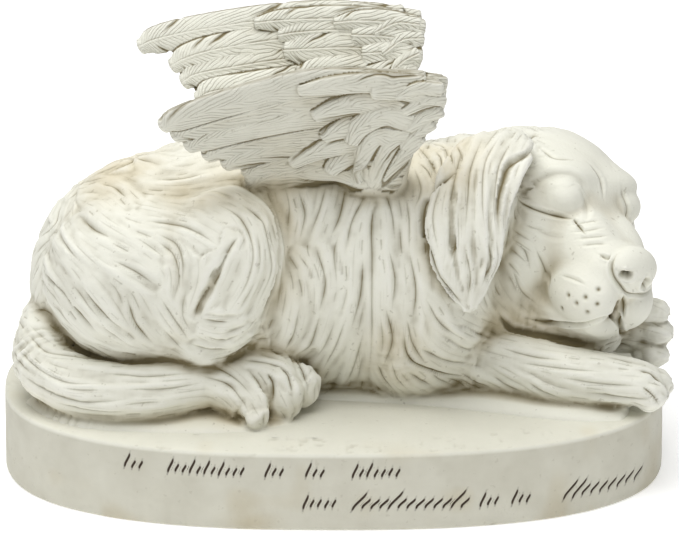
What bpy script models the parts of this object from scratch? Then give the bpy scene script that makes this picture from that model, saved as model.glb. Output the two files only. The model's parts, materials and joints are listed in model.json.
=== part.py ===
"""A memorial statue: a sleeping winged puppy on an oval base, cast in one piece.

The figure is modelled like clay. Each function lays on rounded lumps and tapered rolls, which melt
into each other by a stated amount. Blender's voxel remesh makes one skin of them, the skin is drawn
onto the exact clay surface, and a union joins it to the turned-out oval base.
"""

import math

import bmesh
import bpy
import numpy as np
from mathutils import Euler, Matrix, Vector

# Driving dimensions, in metres
BASE_LENGTH = 0.230
BASE_WIDTH = 0.130
BASE_HEIGHT = 0.0285
BASE_EDGE_ROUND = 0.0008
FIGURE_LENGTH = 0.228

# The figure's clay is drawn in units: the dog is this many units long, and z is 0 on the base
FIGURE_UNITS = 228
UNIT = FIGURE_LENGTH / FIGURE_UNITS
FIGURE_SINKS = 3.0
SKIN_VOXEL = 1.5
FIGURE_TRIANGLES = 8700
OVAL_SQUARENESS = 2.5
OVAL_SIDES = 96
CAST_COLOUR = (0.80, 0.79, 0.72, 1.0)

# Side-to-side middles of the body and of the pair of wings
MIDLINE = 8.0
WING_MIDLINE = 2.0


class Ball:
    """An ellipsoid lump: its centre, half sizes and turn in degrees about X, Y and Z."""

    def __init__(self, at, size, turn=(0, 0, 0), melt=4.0, cut=False):
        self.at = np.array(at, float)
        self.size = np.array(size, float)
        self.axes = np.array(Euler([math.radians(a) for a in turn]).to_matrix(), float)
        self.melt = melt
        self.cut = cut
        self.low = self.at - self.size.max()
        self.high = self.at + self.size.max()

    def distance(self, points):
        local = (points - self.at) @ self.axes
        share = np.linalg.norm(local / self.size, axis=1)
        slope = np.linalg.norm(local / self.size**2, axis=1) + 1e-9
        return share * (share - 1.0) / slope

    def lumps(self):
        turn = Matrix(self.axes.tolist()).to_4x4()
        scale = Matrix.Diagonal((*self.size, 1.0))
        yield Matrix.Translation(self.at) @ turn @ scale


class Roll:
    """A tapered roll along a smooth curve through its stations.

    A station is (x, y, z, half width) or (x, y, z, half width, half thickness). The width lies
    along `across`, so a thin roll is a strap, an ear or a feather. `cup` bends its section.
    """

    SPAN_STEPS = 5

    def __init__(self, stations, across=(0, 1, 0), melt=4.0, cut=False, cup=0.0):
        rows = np.array([s if len(s) == 5 else (*s, s[3]) for s in stations], float)
        self.line = self.smooth_through(rows)
        self.melt = melt
        self.cut = cut
        self.cup = cup
        places = self.line[:, :3]
        along = np.gradient(places, axis=0)
        along /= np.linalg.norm(along, axis=1)[:, None]
        side = np.array(across, float) - along * (along @ np.array(across, float))[:, None]
        side /= np.linalg.norm(side, axis=1)[:, None]
        self.along, self.side, self.face = along, side, np.cross(along, side)
        reach = self.line[:, 3].max()
        self.low = places.min(0) - reach
        self.high = places.max(0) + reach

    @classmethod
    def smooth_through(cls, rows):
        padded = np.vstack([2 * rows[0] - rows[1], rows, 2 * rows[-1] - rows[-2]])
        made = []
        for a, b, c, d in zip(padded, padded[1:], padded[2:], padded[3:]):
            for step in range(cls.SPAN_STEPS):
                t = step / cls.SPAN_STEPS
                made.append(
                    0.5 * (2 * b + (c - a) * t + (2 * a - 5 * b + 4 * c - d) * t**2
                           + (3 * b - 3 * c + d - a) * t**3)
                )
        return np.array([*made, rows[-1]])

    def local(self, points):
        """Nearest place on the line as a share of it, and offsets along, across and off the face."""
        starts, ends = self.line[:-1, :3], self.line[1:, :3]
        best = np.full(len(points), np.inf)
        where = np.zeros(len(points))
        for i, (a, b) in enumerate(zip(starts, ends)):
            run = b - a
            t = np.clip((points - a) @ run / (run @ run), 0, 1)
            gap = ((points - a - t[:, None] * run) ** 2).sum(1)
            nearer = gap < best
            best[nearer] = gap[nearer]
            where[nearer] = i + t[nearer]
        i = np.minimum(where.astype(int), len(starts) - 1)
        t = (where - i)[:, None]
        centre = self.line[i] * (1 - t) + self.line[i + 1] * t
        off = points - centre[:, :3]
        parts = [
            (off * (axis[i] * (1 - t) + axis[i + 1] * t)).sum(1)
            for axis in (self.along, self.side, self.face)
        ]
        return where / len(starts), centre[:, 3], centre[:, 4], *parts

    def distance(self, points):
        _, wide, thick, ahead, aside, above = self.local(points)
        above = above - self.cup * aside**2
        size = np.stack([thick, wide, thick], 1)
        off = np.stack([ahead, aside, above], 1)
        share = np.linalg.norm(off / size, axis=1)
        slope = np.linalg.norm(off / size**2, axis=1) + 1e-9
        return share * (share - 1.0) / slope

    def lumps(self):
        gaps = np.linalg.norm(np.diff(self.line[:, :3], axis=0), axis=1)
        for row, gap, *axes in zip(self.line, [*gaps, 0.0], self.along, self.side, self.face):
            turn = Matrix(np.transpose(axes).tolist()).to_4x4()
            scale = Matrix.Diagonal((max(row[4], 0.8 * gap), row[3], row[4], 1.0))
            yield Matrix.Translation(row[:3]) @ turn @ scale


class Group:
    """Forms that melt into each other first, and then into the rest by the group's own melt."""

    def __init__(self, forms, melt=3.0):
        self.forms = forms
        self.melt = melt
        self.cut = False
        self.low = np.min([form.low for form in forms], axis=0)
        self.high = np.max([form.high for form in forms], axis=0)

    def distance(self, points):
        return melted_field(self.forms, points)

    def lumps(self):
        for form in self.forms:
            if not form.cut:
                yield from form.lumps()


def melted(field, other, melt, cut):
    """Union of two distances, or a cut, with a soft join this many units wide."""
    if cut:
        field, other = -field, other
    mixed = np.minimum(field, other)
    if melt > 0:
        near = np.maximum(melt - np.abs(field - other), 0) / melt
        mixed = mixed - near**2 * melt / 4
    return -mixed if cut else mixed


def melted_field(forms, points):
    """The distance to a row of forms, each melted into the ones before it."""
    field = np.full(len(points), 60.0)
    for form in forms:
        reach = form.melt + 6.0
        close = np.all((points > form.low - reach) & (points < form.high + reach), axis=1)
        index = np.flatnonzero(close)
        if len(index):
            other = form.distance(points[index])
            field[index] = melted(field[index], other, form.melt, form.cut)
    return field


def clay_distance(forms, points):
    """How far each point lies outside the clay, in units, with the clay ending inside the base."""
    return np.maximum(melted_field(forms, points), -(points[:, 2] + FIGURE_SINKS))


def groove(places, half_width=1.8):
    """A carved line through places on the skin, running out to nothing at both ends."""
    count = len(places) - 1
    stations = [
        (*place, half_width * (0.35 if number in (0, count) else 1.0))
        for number, place in enumerate(places)
    ]
    return Roll(stations, melt=1.0, cut=True)


def torso():
    return [
        Ball((-58, 5, 36), (48, 40, 45.5), melt=0),
        Ball((-34, 6, 42), (42, 36, 48), melt=8),
        Ball((-14, MIDLINE, 42), (50, 35, 45.5), melt=10),
        Ball((22, 6, 40), (42, 35, 43), melt=12),
        Roll([(24, 6, 50, 30), (43, 14, 57, 27.5), (60, 21, 57, 26.5)], melt=8),
        Roll([(46, 4, 30, 18), (70, 2, 26, 15), (90, -6, 24, 11)], melt=6),
    ]


def hindquarters():
    near_foot = [(-52, -25, 14, 10), (-33, -27, 14.5, 10), (-21, -28, 12.5, 9)]
    far_foot = [(x, 2 * MIDLINE - y, z - 2, r) for x, y, z, r in near_foot]
    near_thigh = [
        Ball((-66, -17, 47), (34, 26, 29.5)),
        Ball((-36, -21, 60), (20, 21, 21), melt=9),
        Roll([(-38, -24, 58, 18), (-40, -26, 40, 17), (-45, -26, 28, 13)], melt=7),
        groove([(-48, -43, 40), (-46.6, -42.4, 44), (-42, -43.1, 54), (-37, -42.7, 64)], 2.6),
    ]
    return [
        Group(near_thigh, melt=3),
        Ball((-56, 30, 40), (38, 25, 31), turn=(0, 8, 0), melt=5),
        Roll(near_foot, melt=3),
        Roll(far_foot, melt=3),
        Ball((-17.5, -33.5, 8), (7, 5, 7.5), melt=1.5),
        Ball((-12.5, -27, 9.5), (7.5, 5, 8), melt=1.5),
        Ball((-12, -20, 8), (6.5, 4.5, 6.5), melt=1.5),
        Ball((-15, 48, 7), (7, 5.5, 6.5), melt=1.5),
        Ball((-12, 41, 7.5), (7, 5, 7), melt=1.5),
    ]


def tail():
    stations = [
        (-86, 8, 26, 16), (-97, -7, 20, 13.8), (-99, -20, 14.5, 11.5), (-88, -31, 11.8, 10),
        (-71, -35, 11, 9.4), (-56, -33.5, 12, 9), (-44, -31, 13, 8.6), (-35, -33, 11.5, 8.4),
        (-29, -37, 8, 6.8), (-27, -41, 5, 4),
    ]
    return [Roll(stations, melt=1.5)]


def forelegs():
    return [
        Ball((34, -8, 40), (21.5, 23, 38), melt=3),
        Roll([(34, -10, 40, 18), (24, -14, 22, 13), (26, -12, 14, 11.5)], melt=4),
        Roll(
            [(22, -11, 13, 11.5), (45, -8, 14, 12.5), (62, -13, 13, 11), (80, -21, 12, 9.5),
             (96, -25, 12, 8.6), (106, -27, 10.5, 8)],
            melt=4,
        ),
        Ball((108.5, -31, 8), (7, 5, 6), turn=(0, 0, -25), melt=1.2),
        Ball((111, -25, 9.5), (6.5, 5, 6.5), turn=(0, 0, -10), melt=1.2),
        Roll([(50, 34, 16, 14), (82, 26, 16, 11), (98, 9, 18, 10), (105, 3, 19, 9.5)], melt=4),
        Ball((110.5, -1, 27), (6.5, 5.5, 5), melt=1.2),
        Ball((112, -2, 19.5), (6.5, 5.5, 5), melt=1.2),
        Ball((110.5, -4, 12), (6.5, 5.5, 5), melt=1.2),
    ]


def ground():
    """The low swell of ground that the dog lies on."""
    under_tail = [(-100, -14, 1, 12, 4), (-88, -30, 1, 13, 4), (-60, -35, 1, 13, 4),
                  (-34, -36, 1, 12, 3.5), (-18, -34, 0, 9, 3)]
    under_belly = [(-14, -4, 0, 12, 4), (15, -6, 1, 13, 5), (42, -10, 1, 14, 5.5),
                   (62, -17, 1, 13, 5.5), (85, -24, 1, 13, 5), (102, -26, 0, 12, 4)]
    under_far = [(-90, 24, 0, 22, 4), (-50, 34, 0, 20, 4), (0, 30, 0, 20, 4),
                 (50, 34, 0, 18, 4), (90, 20, 0, 16, 4)]
    return [Roll(line, melt=2.5) for line in (under_tail, under_belly, under_far)]


# The head has its own axes: forward to the nose, left to the far side, and up
HEAD_AT = np.array((73.0, 24.0, 52.0))
HEAD_TURN = (-20.7, -9.0, -50.0)
HEAD_AXES = np.array(Euler([math.radians(a) for a in HEAD_TURN]).to_matrix(), float)


def on_head(forward, left, up):
    return HEAD_AT + HEAD_AXES @ np.array((forward, left, up), float)


def head_ball(forward, left, up, size, melt=4.0, cut=False, lift=0.0, swing=0.0):
    form = Ball(on_head(forward, left, up), size, melt=melt, cut=cut)
    own = Euler((0, math.radians(lift), math.radians(swing))).to_matrix()
    form.axes = HEAD_AXES @ np.array(own, float)
    return form


def head_roll(stations, melt=4.0, cut=False, across=(0, 1, 0), cup=0.0):
    placed = [(*on_head(*s[:3]), *s[3:]) for s in stations]
    return Roll(placed, across=HEAD_AXES @ np.array(across, float), melt=melt, cut=cut, cup=cup)


def head():
    forms = [
        head_ball(-8, 2, -1, (28, 29, 27), melt=8),
        head_ball(2, -1, 2, (29.5, 29.5, 29.5), melt=8),
        head_roll([(10, 0, -6, 21, 19), (31, 0, -11, 16.5, 14), (43, 0, -13, 14, 11)], melt=7),
        head_roll([(6, 0, -22, 18, 10), (26, 0, -30, 14, 7), (39, 0, -31.5, 9.5, 5.2)], melt=2),
    ]
    for side in (-1, 1):
        forms += [
            head_ball(6, 18 * side, -10, (19, 14, 22), melt=7),
            head_ball(31, 7 * side, -4, (11, 7, 8), melt=7),
            head_ball(36, 8.5 * side, -21, (16, 9, 12), melt=2, lift=12),
            head_ball(20, 10 * side, 16, (8, 9, 5), melt=6),
            head_ball(23, 13 * side, 9.5, (8.5, 8.5, 7.5), melt=2),
        ]
    forms.append(head_ball(51, 0, -10.5, (6, 9.5, 7.5), melt=1.5))
    return forms


def near_ear():
    stations = [(61, 8, 87.5, 8, 4), (57, -1, 88, 13, 4), (52, -12, 84.5, 14, 3.5),
                (47.5, -22, 76.5, 14, 3.4), (45.2, -28.5, 66, 14, 3.2), (45.2, -31.5, 55, 11.5, 3),
                (46.2, -33, 46.5, 6.5, 2.6), (46.8, -33.5, 42, 3, 2)]
    ear = [
        Roll(stations, across=(1, 0, 0)),
        groove([(42, -16, 84), (40.5, -27, 75), (41, -32.5, 62), (44, -35, 49)]),
        groove([(49, -17, 86), (47.5, -28, 75), (48, -33, 62), (49, -35, 51)]),
        groove([(55, -18, 85), (53.6, -27, 75), (54, -32, 62), (53, -34, 52)]),
    ]
    return [Ball((54, -4, 71), (9, 12, 15), melt=5), Group(ear, melt=1.2)]


def far_ear():
    stations = [(-8, 22, 20, 10, 4), (-12, 31, 12, 12, 3.5), (-14, 35, 0, 14, 3),
                (-14, 35, -10, 13, 3), (-13, 34, -19, 9, 2.8), (-12, 33, -25, 4, 2)]
    return [head_roll(stations, across=(1, 0, 0), melt=1.5)]


def wing_lean(x, z):
    """How far the near wing's sheet stands towards the viewer over a point of the side view."""
    return -13 - 0.41 * (z - 82) - 0.28 * max(0.0, -x - 15)


def feather(stations, off_sheet, far, melt=0.6, thick=1.8, tilt=0.12):
    """A flat feather from side-view stations (x, z, half width), this far off the wing's sheet."""
    placed = []
    for x, z, wide in stations:
        y = wing_lean(x, z) + off_sheet
        if far:
            x, y = (x - 36) * 1.02 + 29, 2 * WING_MIDLINE - y
        placed.append((x, y, z, wide, thick))
    lean = 0.41 - tilt if not far else -0.41 + tilt
    return Roll(placed, across=(0, -lean, 1), melt=melt)


def wing(far):
    arm = [(13, 80, 12), (17, 94, 10.5), (21.5, 107, 9), (29, 117, 9)]
    forms = [feather(arm, 0, far, melt=3, thick=4.5, tilt=0)]
    long_ones = [
        [(34, 119, 6), (12, 123.5, 6), (-12, 122.5, 6.2), (-38, 117, 6), (-56, 112, 4)],
        [(31, 113, 6), (14, 117, 6), (-8, 116.5, 6.2), (-36, 111.5, 6), (-52, 107, 4)],
        [(29, 107, 6), (14, 110.5, 6), (-6, 110, 6.2), (-30, 106, 6), (-47.5, 102, 4)],
        [(26, 101, 6), (14, 104, 6), (-2, 103.5, 6), (-24, 100.5, 5.5), (-41.5, 97, 4)],
        [(24, 95, 6), (14, 98, 6), (0, 98, 6), (-18, 96, 5.5), (-35, 92.5, 4)],
        [(22, 90, 6), (6, 92, 6), (-10, 91, 5.5), (-28, 87.5, 4)],
        [(20, 84, 6), (4, 86, 6), (-10, 85, 5.5), (-26, 83, 4)],
    ]
    for number, stations in enumerate(long_ones):
        if far and number > 0:
            stations = [(x if x > -10 else -10 + 0.84 * (x + 10), z, r) for x, z, r in stations]
        forms.append(feather(stations, 0.6 * (number % 2), far, thick=2.2))
    return forms


def carved_locks():
    """The deepest strokes of the fur: at the thigh's back edge, on the flank and the foreleg."""
    lines = [
        [(-75, -39.7, 34), (-85, -38, 42), (-92, -33, 50)],
        [(-81, -39.8, 47), (-87, -33.8, 60)],
        [(-1, -16, 75), (4, -26.3, 56), (0, -27, 30)],
        [(-12, -23.6, 67), (-7, -28, 46), (-10, -25, 22)],
        [(16, -26.7, 60), (21, -29.6, 43), (23, -27.9, 23)],
        [(25, -22.7, 8), (33, -25.3, 15)],
        [(37, -19.9, 6), (46, -21.7, 13)],
        [(51, -22.2, 5), (61, -24.5, 12)],
        [(65, -25.7, 5.5), (75, -29.4, 12)],
    ]
    return [groove(line) for line in lines]


def figure_forms():
    forms = torso() + hindquarters() + tail() + forelegs() + ground()
    forms += head() + near_ear() + far_ear() + carved_locks()
    return forms + wing(far=False) + wing(far=True)


def mesh_points(mesh):
    points = np.empty(len(mesh.vertices) * 3, np.float32)
    mesh.vertices.foreach_get("co", points)
    return points.reshape(-1, 3).astype(float)


def set_points(mesh, points):
    mesh.vertices.foreach_set("co", points.astype(np.float32).ravel())
    mesh.update()


def vertex_normals(mesh):
    normals = np.empty(len(mesh.vertices) * 3, np.float32)
    mesh.vertex_normals.foreach_get("vector", normals)
    return normals.reshape(-1, 3).astype(float)


def relaxed(mesh, points, share):
    """Each point moved this share of the way to the middle of its neighbours."""
    edges = np.empty(len(mesh.edges) * 2, np.int32)
    mesh.edges.foreach_get("vertices", edges)
    a, b = edges.reshape(-1, 2).T
    count = np.bincount(a, minlength=len(points)) + np.bincount(b, minlength=len(points))
    middle = np.stack(
        [
            np.bincount(a, points[b, k], len(points)) + np.bincount(b, points[a, k], len(points))
            for k in range(3)
        ],
        1,
    )
    return points + share * (middle / count[:, None] - points)


def object_from(bm, name):
    mesh = bpy.data.meshes.new(name)
    bm.to_mesh(mesh)
    bm.free()
    obj = bpy.data.objects.new(name, mesh)
    bpy.context.scene.collection.objects.link(obj)
    return obj


def keep_evaluated(obj):
    """Replaces the mesh by what its modifiers make of it, and removes them."""
    graph = bpy.context.evaluated_depsgraph_get()
    made = bpy.data.meshes.new_from_object(obj.evaluated_get(graph))
    obj.modifiers.clear()
    obj.data = made


def skinned(forms, name, voxel):
    """One closed skin over the clay, drawn onto its surface."""
    bm = bmesh.new()
    bmesh.ops.create_icosphere(bm, subdivisions=2, radius=1.02)
    lump = bpy.data.meshes.new("lump")
    bm.to_mesh(lump)
    bm.clear()
    for form in forms:
        for place in form.lumps():
            if not form.cut:
                lump.transform(place)
                bm.from_mesh(lump)
                lump.transform(place.inverted())
    bpy.data.meshes.remove(lump)
    obj = object_from(bm, name)
    for rounds in (4, 2):
        remesh = obj.modifiers.new("One skin", "REMESH")
        remesh.mode = "VOXEL"
        remesh.voxel_size = voxel
        keep_evaluated(obj)
        for _ in range(rounds):
            points = relaxed(obj.data, mesh_points(obj.data), 0.35)
            set_points(obj.data, points)
            step = np.clip(clay_distance(forms, points), -voxel, voxel)
            set_points(obj.data, points - step[:, None] * vertex_normals(obj.data))
    return obj


def oval_base():
    """The base: an oval, a little squarer than an ellipse, with its rims eased."""
    bm = bmesh.new()
    bmesh.ops.create_circle(bm, cap_ends=True, segments=OVAL_SIDES, radius=1.0)
    for vertex in bm.verts:
        angle = math.atan2(vertex.co.y, vertex.co.x)
        c, s = math.cos(angle), math.sin(angle)
        power = 2 / OVAL_SQUARENESS
        vertex.co.x = math.copysign(abs(c) ** power, c) * BASE_LENGTH / 2
        vertex.co.y = math.copysign(abs(s) ** power, s) * BASE_WIDTH / 2
    made = bmesh.ops.extrude_face_region(bm, geom=bm.faces[:])
    top = [v for v in made["geom"] if isinstance(v, bmesh.types.BMVert)]
    bmesh.ops.translate(bm, verts=top, vec=(0, 0, BASE_HEIGHT))
    bmesh.ops.recalc_face_normals(bm, faces=bm.faces[:])
    rims = [e for e in bm.edges if abs(e.verts[0].co.z - e.verts[1].co.z) < 1e-6]
    bmesh.ops.bevel(
        bm, geom=rims, offset=BASE_EDGE_ROUND, affect="EDGES", segments=2, profile=0.5, material=-1
    )
    return object_from(bm, "oval_base_blank")


def cast_material():
    material = bpy.data.materials.new("aged cast resin")
    material.use_nodes = True
    shader = material.node_tree.nodes["Principled BSDF"]
    shader.inputs["Base Color"].default_value = CAST_COLOUR
    shader.inputs["Roughness"].default_value = 0.62
    shader.inputs["Metallic"].default_value = 0.0
    return material


def statue():
    figure = skinned(figure_forms(), "winged_dog_statue", SKIN_VOXEL)
    fewer = figure.modifiers.new("Fewer faces", "DECIMATE")
    fewer.ratio = FIGURE_TRIANGLES / sum(len(p.vertices) - 2 for p in figure.data.polygons)
    keep_evaluated(figure)
    figure.data.transform(
        Matrix.Translation((0, 0, BASE_HEIGHT)) @ Matrix.Diagonal((UNIT, UNIT, UNIT, 1.0))
    )
    base = oval_base()
    joined = figure.modifiers.new("On its base", "BOOLEAN")
    joined.operation = "UNION"
    joined.solver = "EXACT"
    joined.object = base
    keep_evaluated(figure)
    bpy.data.objects.remove(base)
    figure.data.materials.clear()
    figure.data.materials.append(cast_material())
    return figure


def main():
    for obj in list(bpy.data.objects):
        bpy.data.objects.remove(obj)
    statue()


main()
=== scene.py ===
# %% [markdown]
# The real object is one hollow casting in resin: a sleeping puppy with angel wings on an oval base.
# A mould-maker's original for it is modelled in clay, so this lesson models in clay too: rounded
# lumps melt into each other, one skin is drawn over them, and then the fur, the feathers and the
# face are carved into that skin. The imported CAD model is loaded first, and its box is kept.

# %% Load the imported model
import json
import math

import bmesh
import bpy
import numpy as np
from mathutils import Euler, Matrix, Vector, kdtree

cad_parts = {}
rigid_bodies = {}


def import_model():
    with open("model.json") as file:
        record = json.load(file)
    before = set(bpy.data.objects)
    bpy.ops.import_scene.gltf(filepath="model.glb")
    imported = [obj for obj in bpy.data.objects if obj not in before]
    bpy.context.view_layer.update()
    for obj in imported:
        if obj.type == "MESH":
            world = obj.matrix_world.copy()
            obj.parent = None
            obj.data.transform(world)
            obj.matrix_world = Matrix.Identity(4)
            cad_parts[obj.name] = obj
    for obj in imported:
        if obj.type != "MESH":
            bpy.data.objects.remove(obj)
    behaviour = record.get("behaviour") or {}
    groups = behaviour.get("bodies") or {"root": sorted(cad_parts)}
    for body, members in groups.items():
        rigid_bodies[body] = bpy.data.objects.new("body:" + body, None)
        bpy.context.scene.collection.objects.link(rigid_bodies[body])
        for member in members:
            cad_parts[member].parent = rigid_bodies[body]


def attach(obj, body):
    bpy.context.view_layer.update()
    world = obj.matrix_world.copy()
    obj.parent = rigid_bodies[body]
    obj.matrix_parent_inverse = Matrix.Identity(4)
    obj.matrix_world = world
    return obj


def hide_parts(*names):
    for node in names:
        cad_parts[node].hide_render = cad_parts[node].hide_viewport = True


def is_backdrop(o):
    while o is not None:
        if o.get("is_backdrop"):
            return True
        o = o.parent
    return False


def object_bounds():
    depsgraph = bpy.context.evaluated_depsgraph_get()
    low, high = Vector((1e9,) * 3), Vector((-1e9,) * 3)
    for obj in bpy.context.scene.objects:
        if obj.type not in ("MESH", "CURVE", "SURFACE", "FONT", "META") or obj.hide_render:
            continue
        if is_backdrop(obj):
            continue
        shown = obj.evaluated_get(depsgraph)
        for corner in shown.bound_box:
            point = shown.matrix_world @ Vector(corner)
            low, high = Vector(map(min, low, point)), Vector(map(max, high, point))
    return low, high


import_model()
cad_low, cad_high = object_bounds()
MM = 1000.0
print("CAD box, mm:", [round(v * MM, 1) for v in (*cad_low, *cad_high)])

# %% [markdown]
# The sizes are the statue's own. The figure is drawn in units of about a millimetre, with z 0 on
# the top of the base, and is scaled to metres at the very end.

# %% Sizes
BASE_LENGTH = 0.230
BASE_WIDTH = 0.130
BASE_HEIGHT = 0.0285
FIGURE_LENGTH = 0.228
UNIT = FIGURE_LENGTH / 228
FIGURE_SINKS = 3.0
OVAL_SQUARENESS = 2.5
SKIN_VOXEL = 1.4
MIDLINE = 8.0
WING_MIDLINE = 2.0
print("base, mm:", BASE_LENGTH * MM, BASE_WIDTH * MM, BASE_HEIGHT * MM)

# %% [markdown]
# A lump of clay is an ellipsoid, and a roll of clay is a tapered strap along a smooth curve. Each
# says how far any point lies outside it, and that is all that the melting needs.

# %% Lumps of clay
def axes_of(turn):
    """The axes of something turned by these degrees about X, Y and Z, as columns."""
    return np.array(Euler([math.radians(a) for a in turn]).to_matrix(), float)


def unit(vectors, least=0.0):
    return vectors / (np.linalg.norm(vectors, axis=1)[:, None] + least)


def outside_ellipsoid(local, size):
    share = np.linalg.norm(local / size, axis=1)
    slope = np.linalg.norm(local / size**2, axis=1) + 1e-9
    return share * (share - 1.0) / slope


class Ball:
    """An ellipsoid lump: its centre, half sizes and turn in degrees about X, Y and Z."""

    cut = False

    def __init__(self, at, size, turn=(0, 0, 0), melt=4.0):
        self.at = np.array(at, float)
        self.size = np.array(size, float)
        self.axes = axes_of(turn)
        self.melt = melt
        self.low = self.at - self.size.max()
        self.high = self.at + self.size.max()

    def distance(self, points):
        return outside_ellipsoid((points - self.at) @ self.axes, self.size)

    def lumps(self):
        turn = Matrix(self.axes.tolist()).to_4x4()
        scale = Matrix.Diagonal((*self.size, 1.0))
        yield Matrix.Translation(self.at) @ turn @ scale


far_point = np.array([(15.0, 0.0, 0.0)])
print("15 from the middle of a ball of 10:", Ball((0, 0, 0), (10, 10, 10)).distance(far_point))

# %% [markdown]
# A roll runs through stations, each a place and a half width, and a half thickness if it is flat.
# A smooth curve through them is cut into short spans, and a point is measured against the nearest.

# %% Rolls of clay
def smooth_through(rows, steps):
    """A smooth curve through the rows, with this many places from each to the next."""
    padded = np.vstack([2 * rows[0] - rows[1], rows, 2 * rows[-1] - rows[-2]])
    made = []
    for a, b, c, d in zip(padded, padded[1:], padded[2:], padded[3:]):
        for t in np.arange(steps) / steps:
            made.append(
                0.5 * (2 * b + (c - a) * t + (2 * a - 5 * b + 4 * c - d) * t**2
                       + (3 * b - 3 * c + d - a) * t**3)
            )
    return np.array([*made, rows[-1]])


class Roll:
    """A tapered roll through stations (x, y, z, half width) or (x, y, z, half width, half
    thickness). The width lies along `across`."""

    SPAN_STEPS = 5

    def __init__(self, stations, across=(0, 1, 0), melt=4.0, cut=False):
        rows = np.array([s if len(s) == 5 else (*s, s[3]) for s in stations], float)
        self.line = smooth_through(rows, self.SPAN_STEPS)
        self.melt = melt
        self.cut = cut
        places = self.line[:, :3]
        along = unit(np.gradient(places, axis=0))
        across = np.array(across, float)
        side = unit(across - along * (along @ across)[:, None])
        self.along, self.side, self.face = along, side, np.cross(along, side)
        self.length = np.linalg.norm(np.diff(places, axis=0), axis=1).sum()
        reach = self.line[:, 3].max()
        self.low = places.min(0) - reach
        self.high = places.max(0) + reach

    def local(self, points):
        """The share of the line where it is nearest, the half width and half thickness there, and
        the offsets along, across and off the face."""
        places = self.line[:, :3]
        nearest = ((places**2).sum(1) - 2 * points @ places.T).argmin(1)
        tries = []
        for i in (np.maximum(nearest - 1, 0), np.minimum(nearest, len(places) - 2)):
            run = places[i + 1] - places[i]
            t = np.clip(((points - places[i]) * run).sum(1) / (run * run).sum(1), 0, 1)
            gap = ((points - places[i] - t[:, None] * run) ** 2).sum(1)
            tries.append((i, t, gap))
        (i0, t0, gap0), (i1, t1, gap1) = tries
        i = np.where(gap0 < gap1, i0, i1)
        t = np.where(gap0 < gap1, t0, t1)[:, None]
        centre = self.line[i] * (1 - t) + self.line[i + 1] * t
        off = points - centre[:, :3]
        parts = [
            (off * (axis[i] * (1 - t) + axis[i + 1] * t)).sum(1)
            for axis in (self.along, self.side, self.face)
        ]
        return (i + t[:, 0]) / (len(places) - 1), centre[:, 3], centre[:, 4], *parts

    def distance(self, points):
        _, wide, thick, ahead, aside, above = self.local(points)
        off, size = np.stack([ahead, aside, above], 1), np.stack([thick, wide, thick], 1)
        return outside_ellipsoid(off, size)

    def lumps(self):
        gaps = np.linalg.norm(np.diff(self.line[:, :3], axis=0), axis=1)
        for row, gap, *axes in zip(self.line, [*gaps, 0.0], self.along, self.side, self.face):
            turn = Matrix(np.transpose(axes).tolist()).to_4x4()
            scale = Matrix.Diagonal((max(row[4], 0.8 * gap), row[3], row[4], 1.0))
            yield Matrix.Translation(row[:3]) @ turn @ scale


print("length of a straight roll of 20:", Roll([(0, 0, 0, 3), (20, 0, 0, 3)]).length)

# %% [markdown]
# Two forms melt where their distances are nearly equal. A form can cut instead, which is how a
# groove is made, and a group of forms is melted by itself before it joins the rest.

# %% Melting
class Group:
    """Forms that melt into each other first, and then into the rest by the group's own melt."""

    cut = False

    def __init__(self, forms, melt):
        self.forms = forms
        self.melt = melt
        self.low = np.min([form.low for form in forms], axis=0)
        self.high = np.max([form.high for form in forms], axis=0)

    def distance(self, points):
        return melted_field(self.forms, points)

    def lumps(self):
        for form in self.forms:
            if not form.cut:
                yield from form.lumps()


def melted(field, other, melt, cut):
    """Union of two distances, or a cut, with a soft join this many units wide."""
    if cut:
        field = -field
    mixed = np.minimum(field, other)
    if melt > 0:
        near = np.maximum(melt - np.abs(field - other), 0) / melt
        mixed = mixed - near**2 * melt / 4
    return -mixed if cut else mixed


FAR_AWAY = 60.0
MELT_REACH = 6.0


def melted_field(forms, points):
    """The distance to a row of forms, each melted into the ones before it."""
    field = np.full(len(points), FAR_AWAY)
    for form in forms:
        reach = form.melt + MELT_REACH
        close = np.all((points > form.low - reach) & (points < form.high + reach), axis=1)
        index = np.flatnonzero(close)
        if len(index):
            other = form.distance(points[index])
            field[index] = melted(field[index], other, form.melt, form.cut)
    return field


def clay_distance(forms, points):
    """How far each point lies outside the clay, with the clay ending inside the base."""
    return np.maximum(melted_field(forms, points), -(points[:, 2] + FIGURE_SINKS))


def groove(places, half_width):
    """A carved line through places on the skin, running out to nothing at both ends."""
    count = len(places) - 1
    stations = [
        (*place, half_width * (0.35 if number in (0, count) else 1.0))
        for number, place in enumerate(places)
    ]
    return Roll(stations, melt=1.0, cut=True)


pair = [Ball((-8, 0, 0), (8, 8, 8)), Ball((8, 0, 0), (8, 8, 8))]
print("where two balls touch, melted:", melted_field(pair, np.zeros((1, 3))))

# %% [markdown]
# The body lies on its belly with the spine a little beyond the base's middle. The near hind leg is
# folded forward along the base, with the tail curled in front of it, and the forelegs reach out
# under the chin. Every lump is placed where the photograph shows the form's highlight and outline.

# %% The body, the legs and the tail
def torso():
    return [
        Ball((-58, 5, 36), (48, 40, 45.5), melt=0),
        Ball((-34, 6, 42), (42, 36, 48), melt=8),
        Ball((-14, MIDLINE, 42), (50, 35, 45.5), melt=10),
        Ball((22, 6, 40), (42, 35, 43), melt=12),
        Roll([(24, 6, 50, 30), (43, 14, 57, 27.5), (60, 21, 57, 26.5)], melt=8),
        Roll([(46, 4, 30, 18), (70, 2, 26, 15), (90, -6, 24, 11)], melt=6),
    ]


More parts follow.
